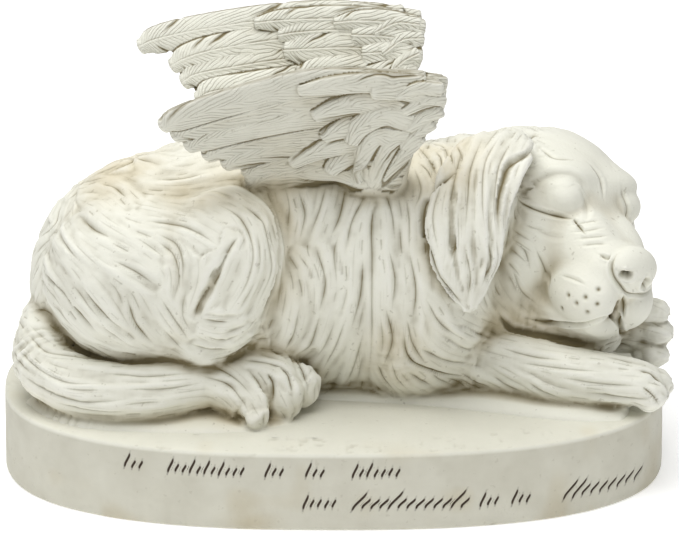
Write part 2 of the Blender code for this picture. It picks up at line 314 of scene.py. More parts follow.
def hindquarters():
    near_foot = [(-52, -25, 14, 10), (-33, -27, 14.5, 10), (-21, -28, 12.5, 9)]
    far_foot = [(x, 2 * MIDLINE - y, z - 2, r) for x, y, z, r in near_foot]
    near_thigh = [
        Ball((-66, -17, 47), (34, 26, 29.5)),
        Ball((-36, -21, 60), (20, 21, 21), melt=9),
        Roll([(-38, -24, 58, 18), (-40, -26, 40, 17), (-45, -26, 28, 13)], melt=7),
        groove([(-48, -43, 40), (-46.6, -42.4, 44), (-42, -43.1, 54), (-37, -42.7, 64)], 1.5),
    ]
    return [
        Group(near_thigh, melt=3),
        Ball((-56, 30, 40), (38, 25, 31), turn=(0, 8, 0), melt=5),
        Roll(near_foot, melt=3),
        Roll(far_foot, melt=3),
        Ball((-17.5, -33.5, 8), (7, 5, 7.5), melt=1.5),
        Ball((-12.5, -27, 9.5), (7.5, 5, 8), melt=1.5),
        Ball((-12, -20, 8), (6.5, 4.5, 6.5), melt=1.5),
        Ball((-15, 48, 7), (7, 5.5, 6.5), melt=1.5),
        Ball((-12, 41, 7.5), (7, 5, 7), melt=1.5),
    ]


def tail():
    stations = [
        (-86, 8, 26, 16), (-97, -7, 20, 13.8), (-99, -20, 14.5, 11.5), (-88, -31, 11.8, 10),
        (-71, -35, 11, 9.4), (-56, -33.5, 12, 9), (-44, -31, 13, 8.6), (-35, -33, 11.5, 8.4),
        (-29, -37, 8, 6.8), (-27, -41, 5, 4),
    ]
    return [Roll(stations, melt=1.5)]


def forelegs():
    return [
        Ball((34, -8, 40), (21.5, 23, 38), melt=3),
        Roll([(34, -10, 40, 18), (24, -14, 22, 13), (26, -12, 14, 11.5)], melt=4),
        Roll(
            [(22, -11, 13, 11.5), (45, -8, 14, 12.5), (62, -13, 13, 11), (80, -21, 12, 9.5),
             (96, -25, 12, 8.6), (106, -27, 10.5, 8)],
            melt=4,
        ),
        Ball((108.5, -31, 8), (7, 5, 6), turn=(0, 0, -25), melt=1.2),
        Ball((111, -25, 9.5), (6.5, 5, 6.5), turn=(0, 0, -10), melt=1.2),
        Roll([(50, 34, 16, 14), (82, 26, 16, 11), (98, 9, 18, 10), (105, 3, 19, 9.5)], melt=4),
        Ball((110.5, -1, 27), (6.5, 5.5, 5), melt=1.2),
        Ball((112, -2, 19.5), (6.5, 5.5, 5), melt=1.2),
        Ball((110.5, -4, 12), (6.5, 5.5, 5), melt=1.2),
    ]


def ground():
    """The low swell of ground that the dog lies on."""
    under_tail = [(-100, -14, 1, 12, 4), (-88, -30, 1, 13, 4), (-60, -35, 1, 13, 4),
                  (-34, -36, 1, 12, 3.5), (-18, -34, 0, 9, 3)]
    under_belly = [(-14, -4, 0, 12, 4), (15, -6, 1, 13, 5), (42, -10, 1, 14, 5.5),
                   (62, -17, 1, 13, 5.5), (85, -24, 1, 13, 5), (102, -26, 0, 12, 4)]
    under_far = [(-90, 24, 0, 22, 4), (-50, 34, 0, 20, 4), (0, 30, 0, 20, 4),
                 (50, 34, 0, 18, 4), (90, 20, 0, 16, 4)]
    lines = [[(0.97 * x, 0.93 * y, z - 2, wide, thick) for x, y, z, wide, thick in line]
             for line in (under_tail, under_belly, under_far)]
    return [Roll(line, melt=4) for line in lines]


print("forms in the body:", len(torso() + hindquarters() + tail() + forelegs()))

# %% [markdown]
# The head rests on the forelegs, turned towards the viewer and tipped over. It has its own axes,
# forward to the nose, left to the far side, and up, so both sides of the face share their numbers.

# %% The head and the ears
HEAD_AT = np.array((73.0, 24.0, 52.0))
HEAD_AXES = axes_of((-20.7, -9.0, -50.0))


def on_head(forward, left, up):
    return HEAD_AT + HEAD_AXES @ np.array((forward, left, up), float)


def head_ball(forward, left, up, size, melt, lift=0.0):
    form = Ball(on_head(forward, left, up), size, melt=melt)
    form.axes = HEAD_AXES @ axes_of((0, lift, 0))
    return form


def head_roll(stations, melt, across=(0, 1, 0)):
    placed = [(*on_head(*s[:3]), *s[3:]) for s in stations]
    return Roll(placed, across=HEAD_AXES @ np.array(across, float), melt=melt)


def head():
    forms = [
        head_ball(-8, 2, -1, (28, 29, 27), melt=8),
        head_ball(2, -1, 2, (29.5, 29.5, 29.5), melt=8),
        head_roll([(10, 0, -6, 21, 19), (31, 0, -11, 16.5, 14), (43, 0, -13, 14, 11)], melt=7),
        head_roll([(6, 0, -22, 18, 10), (26, 0, -30, 14, 7), (39, 0, -31.5, 9.5, 5.2)], melt=2),
    ]
    for side in (-1, 1):
        forms += [
            head_ball(6, 18 * side, -10, (19, 14, 22), melt=7),
            head_ball(31, 7 * side, -4, (11, 7, 8), melt=7),
            head_ball(36, 8.5 * side, -21, (16, 9, 12), melt=2, lift=12),
            head_ball(20, 10.5 * side, 16.5, (8.5, 10, 5), melt=5),
            head_ball(23.2, 13 * side, 9, (7.8, 8, 7), melt=1.8),
        ]
    forms.append(head_ball(51, 0, -10.5, (6, 9.5, 7.5), melt=1.5))
    return forms


def near_ear():
    stations = [(61, 8, 87.5, 8, 4), (57, -1, 88, 13, 4), (52, -12, 84.5, 14, 3.5),
                (47.5, -22, 76.5, 14, 3.4), (45.2, -28.5, 66, 14, 3.2), (45.2, -31.5, 55, 11.5, 3),
                (46.2, -33, 46.5, 6.5, 2.6), (46.8, -33.5, 42, 3, 2)]
    ear = [
        Roll(stations, across=(1, 0, 0)),
        groove([(42, -16, 84), (40.5, -27, 75), (41, -32.5, 62), (44, -35, 49)], 0.9),
        groove([(49, -17, 86), (47.5, -28, 75), (48, -33, 62), (49, -35, 51)], 0.9),
        groove([(55, -18, 85), (53.6, -27, 75), (54, -32, 62), (53, -34, 52)], 0.9),
    ]
    return [Ball((54, -4, 71), (9, 12, 15), melt=5), Ball((52, -14, 67), (8, 12, 16), melt=5),
            Group(ear, melt=1.2)]


def far_ear():
    stations = [(-8, 22, 20, 10, 4), (-12, 31, 12, 12, 3.5), (-14, 35, 0, 14, 3),
                (-14, 35, -10, 13, 3), (-13, 34, -19, 9, 2.8), (-12, 33, -25, 4, 2)]
    return [head_roll(stations, across=(1, 0, 0), melt=1.5)]


print("forms in the head:", len(head()), "and the nose is at", on_head(51, 0, -10.5).round(1))

# %% [markdown]
# Each wing is a leaning sheet of overlapping feathers: seven long ones, and on both faces rows of
# shorter coverts whose rounded tips lie on top like roof tiles, each a thin roll of clay. The step
# at every tip is real relief, so it throws the small shadow that separates the rows.

# %% The wings
WING_SLOPE = 0.41


def wing_lean(x, z):
    """How far the near wing's sheet stands towards the viewer over a point of the side view."""
    return -13 - WING_SLOPE * (z - 82) - 0.28 * max(0.0, -x - 15)


def feather(stations, off_sheet, far, melt, thick, tilt=0.12):
    """A flat feather from side-view stations (x, z, half width), this far off the wing's sheet."""
    placed = []
    for x, z, wide in stations:
        y = wing_lean(x, z) + off_sheet
        if far:
            x, y = (x - 36) * 1.02 + 29, 2 * WING_MIDLINE - y
        placed.append((x, y, z, wide, thick))
    lean = (WING_SLOPE - tilt) * (-1 if far else 1)
    return Roll(placed, across=(0, -lean, 1), melt=melt)


# %% [markdown]
# The feathers are listed by how far their row lies off the wing's sheet, as seen from the side.
# The inner rows face the other wing, and the outer ones face away from it.

# %% The feathers of a wing
INNER_ROWS = {
    2.1: [
        [(30, 122.5, 5), (8, 123.3, 5.2), (-10, 122.8, 4.4), (-18, 121.8, 2.6)],
        [(30, 118, 5), (10, 119.6, 5.6), (-4, 119, 4.8), (-10, 118.2, 2.8)],
        [(28, 113, 6), (12, 114, 7), (-2, 113.5, 6.4), (-8, 113.2, 3.6)],
        [(26, 107, 6), (12, 107.5, 5.6), (2, 107, 5), (-4, 106, 3)],
        [(24, 101, 6), (10, 101.5, 5.5), (0, 100.5, 5), (-6, 99.5, 3)],
        [(22, 95, 6), (8, 95.5, 5.5), (-2, 94.5, 5), (-8, 93.5, 3)],
    ],
    3.3: [
        [(37, 120, 4.5), (26, 122.5, 5), (15, 123, 4.2), (9, 122.5, 2.6)],
        [(36, 116, 5), (25, 118, 5), (15, 118.4, 3.6)],
        [(36, 111, 5), (27, 112.8, 5), (18.5, 112.5, 3.6)],
        [(34, 105, 5), (28, 106.8, 5), (20, 106, 3.4)],
        [(30, 99, 5), (24, 100.5, 5), (15, 99.5, 3.4)],
        [(26, 92, 5), (20, 93.5, 5), (12, 92.5, 3.4)],
    ],
}
OUTER_ROWS = {
    -1.9: [
        [(30, 122.5, 5), (12, 124, 4.6), (0, 123, 4.2), (-11, 121, 2.8)],
        [(28, 114, 5), (14, 116, 5), (2, 113.5, 4.6), (-6, 110, 3)],
        [(24, 106, 5), (12, 107.5, 5), (2, 104, 4.4), (-3, 101, 3)],
        [(20, 98, 5), (8, 98.5, 5), (-6, 94.5, 4.4), (-14, 89.5, 3)],
        [(16, 94, 5), (6, 93, 4.6), (1, 89, 4), (-1, 86, 3)],
    ],
    -3.0: [
        [(34, 119, 4.5), (24, 121, 4.5), (14, 120.5, 3.4)],
        [(27, 108, 5), (18, 111, 5), (9, 106, 4.6), (6, 99.5, 3.2)],
        [(22, 100, 4.6), (14, 102, 4.6), (9, 93, 4.4), (9, 83, 3.2)],
        [(26, 103, 4.6), (20, 101, 4.6), (16, 92, 4.2), (14.5, 83, 3)],
    ],
}
RUFFLES = [
    [(36, 122, 3), (29, 122.5, 3), (22, 119.5, 2)],
    [(37, 117.5, 3), (31, 117, 3), (25, 113, 2)],
    [(36, 112.5, 3), (31, 110, 3), (26, 105.5, 2)],
    [(33, 107, 3), (28, 103, 3), (24, 97.5, 2)],
    [(29, 101, 3), (25, 95.5, 3), (21, 89.5, 2)],
    [(25, 95, 3), (20, 89, 3), (17, 84, 2)],
]


def long_feathers(far):
    long_ones = [
        [(34, 119, 6), (12, 123.5, 6), (-12, 122.5, 6.2), (-38, 117, 6), (-56, 112, 4)],
        [(31, 113, 6), (14, 117, 6), (-8, 116.5, 6.2), (-36, 111.5, 6), (-52, 107, 4)],
        [(29, 107, 6), (14, 110.5, 6), (-6, 110, 6.2), (-30, 106, 6), (-47.5, 102, 4)],
        [(26, 101, 6), (14, 104, 6), (-2, 103.5, 6), (-24, 100.5, 5.5), (-41.5, 97, 4)],
        [(24, 95, 6), (14, 98, 6), (0, 98, 6), (-18, 96, 5.5), (-35, 92.5, 4)],
        [(22, 90, 6), (6, 92, 6), (-10, 91, 5.5), (-28, 87.5, 4)],
        [(20, 84, 6), (4, 86, 6), (-10, 85, 5.5), (-26, 83, 4)],
    ]
    made = []
    for number, stations in enumerate(long_ones):
        x, z, wide = stations[-1]
        stations = [*stations[:-1], (x + 3, z + 0.6, 5.4), (x - 1.8, z - 1.8, 3.4)]
        if far and number > 0:
            stations = [(x if x > -10 else -10 + 0.84 * (x + 10), z, r) for x, z, r in stations]
        made.append(feather(stations, 0.6 * (number % 2), far, melt=0.8 if far else 2.0, thick=2.0))
    return made


def coverts(far):
    made = []
    for rows in (INNER_ROWS, OUTER_ROWS):
        for off, blades in rows.items():
            made += [feather(stations, off, far, melt=0.3, thick=1.7) for stations in blades]
    for off in (3.9, -3.8):
        made += [feather(stations, off, far, melt=0.6, thick=1.5) for stations in RUFFLES]
    return made


def wing_arm(far):
    arm = [(13, 80, 12), (17, 94, 10.5), (21.5, 107, 9), (29, 117, 9)]
    return feather(arm, 0, far, melt=3, thick=4.5, tilt=0)


print("feathers of a wing:", len(long_feathers(False) + coverts(False)))

# %% [markdown]
# Blender's voxel Remesh makes one closed skin of all the lumps. It is blocky, so each of its points
# is then moved along its normal by its distance from the clay, a few times over. The skin is made
# coarse, split once all over, and split again where the finest carving comes: wings and face.

# %% One skin over the clay
def read_rows(rows, name, width, kind=np.float32):
    values = np.empty(len(rows) * width, kind)
    rows.foreach_get(name, values)
    return values.reshape(-1, width)


def mesh_points(mesh):
    return read_rows(mesh.vertices, "co", 3).astype(float)


def set_points(mesh, points):
    mesh.vertices.foreach_set("co", points.astype(np.float32).ravel())
    mesh.update()


def vertex_normals(mesh):
    return read_rows(mesh.vertex_normals, "vector", 3).astype(float)


def relaxed(mesh, points, share, times=1):
    """Each point moved this share of the way to the middle of its neighbours."""
    a, b = read_rows(mesh.edges, "vertices", 2, np.int32).T
    size = len(points)
    count = np.bincount(a, minlength=size) + np.bincount(b, minlength=size)
    for _ in range(times):
        middle = np.stack(
            [np.bincount(a, points[b, k], size) + np.bincount(b, points[a, k], size)
             for k in range(points.shape[1])], 1)
        points = points + share * (middle / count[:, None] - points)
    return points


def relaxed_values(mesh, values, share, times):
    return relaxed(mesh, values[:, None], share, times)[:, 0]


def keep_values(mesh, named):
    """Keeps each row of values on the mesh's points, under its name."""
    for name, values in named.items():
        layer = mesh.attributes.new(name, "FLOAT", "POINT")
        layer.data.foreach_set("value", values.astype(np.float32))


def object_from(bm, name):
    mesh = bpy.data.meshes.new(name)
    bm.to_mesh(mesh)
    bm.free()
    obj = bpy.data.objects.new(name, mesh)
    bpy.context.scene.collection.objects.link(obj)
    return obj


def keep_evaluated(obj):
    """Replaces the mesh by what its modifiers make of it, and removes them."""
    graph = bpy.context.evaluated_depsgraph_get()
    made = bpy.data.meshes.new_from_object(obj.evaluated_get(graph))
    obj.modifiers.clear()
    obj.data = made


def drawn_onto(mesh, forms, rounds, limit):
    """Moves the points onto the clay's surface, by no more than the limit in each round."""
    for _ in range(rounds):
        points = relaxed(mesh, mesh_points(mesh), 0.35)
        set_points(mesh, points)
        step = np.clip(clay_distance(forms, points), -limit, limit)
        set_points(mesh, points - step[:, None] * vertex_normals(mesh))


def skinned(forms, name, voxel):
    """One closed skin over the clay, drawn onto its surface."""
    bm = bmesh.new()
    bmesh.ops.create_icosphere(bm, subdivisions=2, radius=1.02)
    lump = bpy.data.meshes.new("lump")
    bm.to_mesh(lump)
    bm.clear()
    for form in forms:
        for place in form.lumps():
            if not form.cut:
                lump.transform(place)
                bm.from_mesh(lump)
                lump.transform(place.inverted())
    bpy.data.meshes.remove(lump)
    obj = object_from(bm, name)
    for rounds in (4, 2):
        remesh = obj.modifiers.new("One skin", "REMESH")
        remesh.mode = "VOXEL"
        remesh.voxel_size = voxel
        keep_evaluated(obj)
        drawn_onto(obj.data, forms, rounds, voxel)
    return obj


def split_where(mesh, wanted):
    """Halves every edge between two wanted vertices."""
    bm = bmesh.new()
    bm.from_mesh(mesh)
    edges = [e for e in bm.edges if wanted[e.verts[0].index] and wanted[e.verts[1].index]]
    bmesh.ops.subdivide_edges(bm, edges=edges, cuts=1, use_grid_fill=True)
    bm.to_mesh(mesh)
    bm.free()


# %% [markdown]
# All the forms go into one list, in the order in which they melt. Before the coarse skin is split,
# each point is compared with where strong relaxing would put it, which tells how deep in a valley
# it lies.

# %% Make the skin
wings = {far: [wing_arm(far), *long_feathers(far), *coverts(far)] for far in (False, True)}
head_forms = head()
ear_forms = near_ear()
far_ear_forms = far_ear()
ground_forms = ground()
body_forms = torso() + hindquarters() + tail() + forelegs()
clay = (body_forms + ground_forms + head_forms + ear_forms + far_ear_forms
        + wings[False] + wings[True])
skin = skinned(clay, "clay_skin", SKIN_VOXEL)
print("coarse skin:", len(skin.data.vertices), "points over", len(clay), "forms")
points = mesh_points(skin.data)
sunk = ((relaxed(skin.data, points, 0.7, 40) - points) * vertex_normals(skin.data)).sum(1)
keep_values(skin.data, {"valley": relaxed_values(skin.data, sunk, 0.5, 2)})
split_where(skin.data, np.ones(len(skin.data.vertices), bool))
drawn_onto(skin.data, clay, 1, 0.6)
points = mesh_points(skin.data)
on_wings = melted_field(wings[False] + wings[True], points) < 1.5
face_side = (points - HEAD_AT) @ HEAD_AXES
on_face = (face_side[:, 0] > 4) & (melted_field(head_forms, points) < 1.0) & (points[:, 1] < 20)
split_where(skin.data, on_wings & (points[:, 2] > 82) | on_face)
drawn_onto(skin.data, clay, 1, 0.4)
points = mesh_points(skin.data)
normals = vertex_normals(skin.data)
print("fine skin:", len(points), "points")

# %% [markdown]
# The carver's strokes follow the way the fur lies. The longest ones were picked on the
# photograph and cast onto the model, from where they start to where they run out. They do two jobs:
# each is carved, and together they say which way the fur lies anywhere between them.

# %% The picked strokes of the fur
FUR_STROKES = {
    "thigh": [
        [(-48, -41, 41), (-46, -40, 47), (-42, -40, 54), (-39, -41, 60), (-37, -43, 66)],
        [(-38, -42, 62), (-35, -42, 68), (-33, -40, 70)],
        [(-31, -30, 79), (-25, -32, 74), (-22, -36, 66), (-22, -37, 55), (-26, -38, 44)],
        [(-39, -31, 79), (-31, -36, 75), (-28, -40, 66), (-30, -42, 55), (-36, -43, 44)],
        [(-60, -34, 69), (-54, -36, 66), (-52, -40, 61), (-52, -41, 53)],
        [(-60, -36, 67), (-55, -38, 63), (-53, -40, 56), (-55, -42, 48)],
        [(-64, -30, 72), (-55, -31, 72), (-47, -37, 71), (-40, -41, 68)],
        [(-88, -16, 69), (-83, -28, 69), (-77, -34, 68)],
        [(-95, -8, 62), (-92, -27, 62), (-87, -34, 59)],
        [(-101, -10, 49), (-96, -29, 48), (-90, -35, 43)],
        [(-95, -30, 49), (-89, -36, 41), (-82, -37, 34)],
        [(-86, -38, 50), (-80, -40, 43), (-73, -41, 36)],
        [(-75, -39, 61), (-68, -41, 58), (-62, -42, 54)],
        [(-71, -43, 48), (-68, -42, 38), (-62, -38, 29)],
        [(-59, -42, 48), (-54, -41, 39), (-50, -39, 32)],
        [(-45, -42, 41), (-40, -43, 40), (-36, -42, 40)],
        [(-44, -41, 34), (-38, -41, 32), (-32, -40, 34)],
        [(-49, -39, 30), (-42, -39, 28), (-34, -37, 28)],
    ],
    "rump": [
        [(-92, 11, 68), (-85, 5, 74), (-78, -1, 77)],
        [(-81, -2, 75), (-75, -9, 76), (-71, -19, 76)],
        [(-78, 12, 77), (-69, 8, 80), (-60, -2, 82)],
        [(-60, -9, 80), (-52, -11, 81), (-43, -11, 83)],
        [(-102, 1, 53), (-97, -4, 60), (-95, 3, 65)],
        [(-104, -5, 40), (-102, -8, 48)],
    ],
    "tail": [
        [(-106, -20, 26), (-99, -28, 23), (-88, -30, 22), (-78, -29, 20)],
        [(-109, -22, 21), (-102, -32, 18), (-92, -39, 16), (-80, -42, 17)],
        [(-108, -28, 14), (-97, -37, 11), (-85, -42, 10), (-71, -44, 12)],
        [(-78, -39, 20), (-64, -40, 19), (-50, -38, 19)],
        [(-71, -43, 15), (-57, -42, 15), (-45, -39, 16)],
        [(-50, -36, 21), (-40, -36, 20), (-33, -39, 17), (-28, -42, 12)],
        [(-45, -38, 18), (-37, -40, 16), (-32, -42, 11), (-29, -44, 6)],
        [(-95, -37, 8), (-83, -42, 6), (-71, -44, 7)],
    ],
    "flank": [
        [(-12, -16, 77), (-10, -20, 71), (-12, -24, 63)],
        [(-3, -14, 78), (-5, -19, 72), (-8, -23, 65)],
        [(4, -13, 78), (2, -19, 70), (-1, -23, 64)],
        [(10, -16, 75), (6, -21, 68), (4, -24, 57)],
        [(-12, -26, 58), (-8, -26, 51), (-7, -26, 40)],
        [(-6, -25, 60), (-3, -28, 49), (-5, -28, 38)],
        [(2, -25, 58), (3, -26, 47), (0, -26, 36)],
        [(10, -26, 56), (9, -29, 44), (6, -28, 31)],
        [(-12, -29, 39), (-14, -28, 29), (-17, -27, 23)],
        [(-5, -28, 36), (-8, -26, 24), (-12, -25, 21)],
        [(4, -28, 35), (0, -25, 22), (-4, -20, 13)],
        [(10, -27, 29), (7, -22, 15), (4, -15, 4)],
    ],
    "groove": [
        [(15, -18, 81), (13, -21, 69), (13, -27, 57), (13, -29, 42), (13, -27, 27), (12, -18, 8)],
    ],
    "shoulder": [
        [(18, -16, 77), (20, -20, 71), (21, -25, 63)],
        [(25, -16, 75), (26, -22, 68), (26, -26, 60)],
        [(19, -26, 60), (21, -28, 50), (20, -29, 39)],
        [(26, -27, 59), (28, -30, 47), (27, -30, 35)],
        [(18, -29, 39), (20, -28, 27), (17, -25, 16)],
        [(25, -30, 35), (27, -29, 26), (32, -26, 17)],
        [(32, -31, 43), (37, -30, 34), (46, -26, 26)],
        [(35, -30, 32), (46, -24, 22), (58, -22, 17)],
    ],
    "chest": [
        [(40, -30, 35), (51, -20, 26), (61, -20, 22)],
    ],
    "arm": [
        [(30, -29, 24), (40, -25, 18), (51, -21, 14)],
        [(58, -20, 21), (68, -24, 20), (79, -27, 19)],
        [(65, -24, 17), (79, -29, 17), (93, -32, 17)],
        [(79, -30, 14), (93, -33, 13), (106, -35, 13)],
        [(89, -32, 9), (101, -34, 8), (112, -36, 9)],
    ],
    "fringe": [
        [(15, -24, 16), (17, -22, 10), (21, -20, 4)],
        [(20, -26, 18), (22, -24, 11), (26, -21, 6)],
        [(26, -25, 14), (30, -24, 10), (34, -21, 7)],
        [(34, -24, 13), (37, -22, 9), (41, -19, 6)],
        [(44, -21, 12), (49, -19, 8), (54, -21, 6)],
        [(55, -22, 11), (60, -22, 8), (65, -24, 6)],
        [(68, -26, 11), (72, -28, 8), (79, -29, 6)],
    ],
    "ear": [
        [(44, -7, 90), (42, -17, 85), (40, -24, 76)],
        [(51, -3, 91), (47, -16, 86), (46, -25, 78), (45, -31, 68)],
        [(57, -2, 92), (52, -14, 87), (51, -25, 78), (52, -31, 68)],
        [(61, -4, 91), (57, -14, 87), (55, -24, 78), (56, -30, 67)],
        [(37, -19, 82), (34, -27, 73), (36, -32, 62)],
        [(41, -26, 73), (42, -30, 65), (40, -33, 59)],
        [(52, -30, 66), (54, -32, 58), (51, -35, 50)],
        [(45, -33, 63), (47, -35, 54), (46, -36, 46)],
        [(56, -31, 66), (56, -32, 57), (52, -34, 48)],
    ],
    "neck": [
        [(29, 9, 84), (33, 1, 83), (36, -7, 80)],
        [(33, 15, 84), (39, 6, 84), (40, -13, 87)],
        [(28, -5, 82), (30, -13, 77), (28, -19, 72)],
    ],
    "cheek": [
        [(62, -11, 58), (66, -12, 54), (68, -12, 47)],
        [(62, -13, 47), (65, -12, 39), (70, -11, 34)],
        [(70, -11, 54), (73, -12, 47), (74, -14, 40)],
    ],
    "brow": [
        [(72, 11, 83), (77, 7, 81), (84, 8, 80)],
        [(89, 10, 78), (93, 8, 73), (94, 4, 67)],
    ],
    "foot": [
        [(-31, -33, 22), (-22, -33, 21), (-15, -33, 17)],
        [(-29, -36, 19), (-25, -38, 14), (-23, -40, 8)],
    ],
}
print("picked strokes:", sum(len(lines) for lines in FUR_STROKES.values()))

# %% [markdown]
# The direction between them is a mean of their directions, in which the nearest count most. A
# stroke and its reverse lie the same way, so the mean is of their outer products, and the way is
# its longest axis.

# %% The way the fur lies
def mirrored(line):
    return [(x, 2 * MIDLINE - y, z) for x, y, z in line]


def fur_guides():
    """Places on the fur and the directions there, on both sides of the dog."""
    places, ways = [], []
    for rows in FUR_STROKES.values():
        for line in rows:
            for one in (line, mirrored(line)):
                curve = smooth_through(np.array(one, float), 3)
                places += list(0.5 * (curve[1:] + curve[:-1]))
                ways += list(np.diff(curve, axis=0))
    for forward in (-22, -6, 10, 26):
        for left in (-14, 0, 14):
            for up in (-8, 18):
                places.append(on_head(forward, left, up))
                ways.append(HEAD_AXES @ np.array((-3.0, left * 0.05, -0.4)))
    return np.array(places), unit(np.array(ways))


def fur_way(points, normals, reach=7.0, batch=40000):
    """The fur's direction along the skin at each point, as a mean of the guides near it."""
    places, ways = fur_guides()
    pairs = ((0, 0), (0, 1), (0, 2), (1, 1), (1, 2), (2, 2))
    products = np.stack([ways[:, i] * ways[:, j] for i, j in pairs], 1)
    tensor = np.empty((len(points), 3, 3))
    for start in range(0, len(points), batch):
        part = points[start:start + batch]
        gap = (part**2).sum(1)[:, None] + (places**2).sum(1) - 2 * part @ places.T
        near = 1 / (gap + reach) ** 2
        mean = (near @ products) / near.sum(1)[:, None]
        tensor[start:start + batch] = mean[:, (0, 1, 2, 1, 3, 4, 2, 4, 5)].reshape(-1, 3, 3)
    way = np.linalg.eigh(tensor)[1][:, :, 2]
    way -= normals * (way * normals).sum(1)[:, None]
    return unit(way, 1e-6)


print("guides for the fur:", len(fur_guides()[0]))

# %% [markdown]
# Grain is smooth random noise at any place in space. Fur gets its locks and strands from it, the
# feathers their irregular barbs, and the base its wear.

# %% Grain and streaks
class Grain:
    """Smooth random values from -1 to 1 anywhere in space, on a lattice that repeats."""

    CELLS = 64

    def __init__(self, seed, spacing):
        values = np.random.default_rng(seed).uniform(-1, 1, self.CELLS**3)
        self.values = values.astype(np.float32)
        self.spacing = spacing

    def at(self, points):
        place = points / self.spacing
        cell = np.floor(place).astype(np.int64)
        t = (place - cell).astype(np.float32)
        t = t * t * (3 - 2 * t)
        mask = self.CELLS - 1
        low = [cell[:, k] & mask for k in range(3)]
        high = [(cell[:, k] + 1) & mask for k in range(3)]
        total = np.zeros(len(points), np.float32)
        for bits in range(8):
            index, weight = 0, 1.0
            for k in range(3):
                up = bits >> k & 1
                index = index * self.CELLS + (high[k] if up else low[k])
                weight = weight * (t[:, k] if up else 1 - t[:, k])
            total += weight * self.values[index]
        return total


def streaks(points, way, seed, spacing, reach, steps=11):
    """Grain drawn out along the fur, so that it turns into strands."""
    grain = Grain(seed, spacing)
    total = sum(grain.at(points + share * reach * way) for share in np.linspace(-1, 1, steps))
    return total / total.std()


def ramp(values, low, high):
    t = np.clip((values - low) / (high - low), 0, 1)
    return t * t * (3 - 2 * t)


# %% [markdown]
# A stroke is a rounded cut with faintly raised edges, deepest in its middle. A search tree of all
# strokes tells each point of the skin which one is nearest to it. The cut goes into the mesh,
# and the distance to the stroke is kept, so the material can draw its line finer than the mesh is.

# %% Carving strokes
def stroke_samples(curve, half_width, depth, drawn):
    """Rows of place, direction, half width, depth and darkness along a curve, which fade at both
    ends."""
    share = np.linspace(0, 1, len(curve))
    way = unit(np.gradient(curve, axis=0), 1e-9)
    fade = ramp(share, -0.08, 0.25) * (1 - ramp(share, 0.62, 1.08))
    return np.column_stack(
        [curve, way, half_width * (0.6 + 0.4 * fade), depth * fade, drawn * fade])


def line_samples(lines, half_width, depth, drawn):
    return [stroke_samples(smooth_through(np.array(line, float), 12), half_width, depth, drawn)
            for line in lines]


def search_tree(places):
    tree = kdtree.KDTree(len(places))
    for number, place in enumerate(places.tolist()):
        tree.insert(place, number)
    tree.balance()
    return tree


WIDEST = 3.0


def nearest_stroke(points, normals, rows, reach=3.2, keep=0.85):
    """Each point's groove depth, its signed distance across the nearest stroke, and how strong
    that stroke is there, from 0 to 1."""
    tree = search_tree(rows[:, :3])
    low, high = rows[:, :3].min(0) - reach, rows[:, :3].max(0) + reach
    index = np.flatnonzero(np.all((points > low) & (points < high), axis=1))
    hits = [tree.find(p)[1:] for p in points[index].tolist()]
    found = np.array([hit[0] for hit in hits])
    gap = np.array([hit[1] for hit in hits])
    row = rows[found]
    off = points[index] - row[:, :3]
    side = unit(np.cross(row[:, 3:6], normals[index]), 1e-6)
    sideways = (off * side).sum(1)
    past_end = np.maximum(np.abs((off * row[:, 3:6]).sum(1)) - 0.9, 0)
    lifted = np.abs((off * normals[index]).sum(1))
    fade = np.exp(-((past_end / 0.7) ** 2)) * (1 - ramp(lifted, 1.8, 3.0))
    share = np.abs(sideways) / row[:, 6]
    raised_edge = 0.3 * np.exp(-((share - 1.9) / 0.7) ** 2)
    depth, across, strength = np.zeros((3, len(points)))
    across += WIDEST
    depth[index] = row[:, 7] * fade * (np.exp(-share**2) - raised_edge)
    across[index] = np.clip(sideways, -WIDEST, WIDEST)
    strength[index] = fade * row[:, 8] * (1 - ramp(gap, keep, keep * 1.4))
    return depth, across, strength


# %% [markdown]
# Between the picked strokes, thousands of finer ones start at random places. Each follows the
# fur over the skin, step by step, until it comes too near another or leaves the fur.

# %% Strokes that fill the fur
def traced_strokes(points, normals, way, weight, taken, apart=1.85, step=1.2, tries=26000):
    """Strokes that follow the fur from random places, kept this far apart from all others."""
    chance = np.random.default_rng(61)
    cells = {}

    def cell_of(place):
        return tuple(int(c // apart) for c in place)

    def is_free(place, own):
        cx, cy, cz = cell_of(place)
        for x in (cx - 1, cx, cx + 1):
            for y in (cy - 1, cy, cy + 1):
                for z in (cz - 1, cz, cz + 1):
                    for number, other in cells.get((x, y, z), ()):
                        if number != own and math.dist(place, other) < apart:
                            return False
        return True

    for place in taken.tolist():
        cells.setdefault(cell_of(place), []).append((-1, place))
    tree = search_tree(points)
    seeds = chance.choice(len(points), tries, p=weight / weight.sum())
    made = []
    for number, seed in enumerate(seeds.tolist()):
        heading = way[seed] * chance.choice([-1, 1])
        place, line = points[seed], []
        for _ in range(int(chance.integers(5, 20))):
            found = tree.find(place)[1]
            normal = normals[found]
            place = place - normal * ((place - points[found]) @ normal)
            if weight[found] < 0.15 or not is_free(place, number):
                break
            line.append(place)
            turned = way[found] * (1 if way[found] @ heading > 0 else -1)
            heading = 0.4 * heading + 0.6 * turned
            place = place + heading / np.linalg.norm(heading) * step
        if len(line) > 4:
            for place in line:
                cells.setdefault(cell_of(place), []).append((number, place))
            force = chance.uniform() ** 2
            made.append(stroke_samples(
                np.array(line), 0.7 + 0.25 * force, 0.10 + 0.28 * force, 0.12 + 0.5 * force))
    return made


# %% [markdown]
# The lines of the face, the ears and the toes were picked too. They differ in width and depth, so
# they stand in groups. The pits of the whiskers and the nostrils are round.

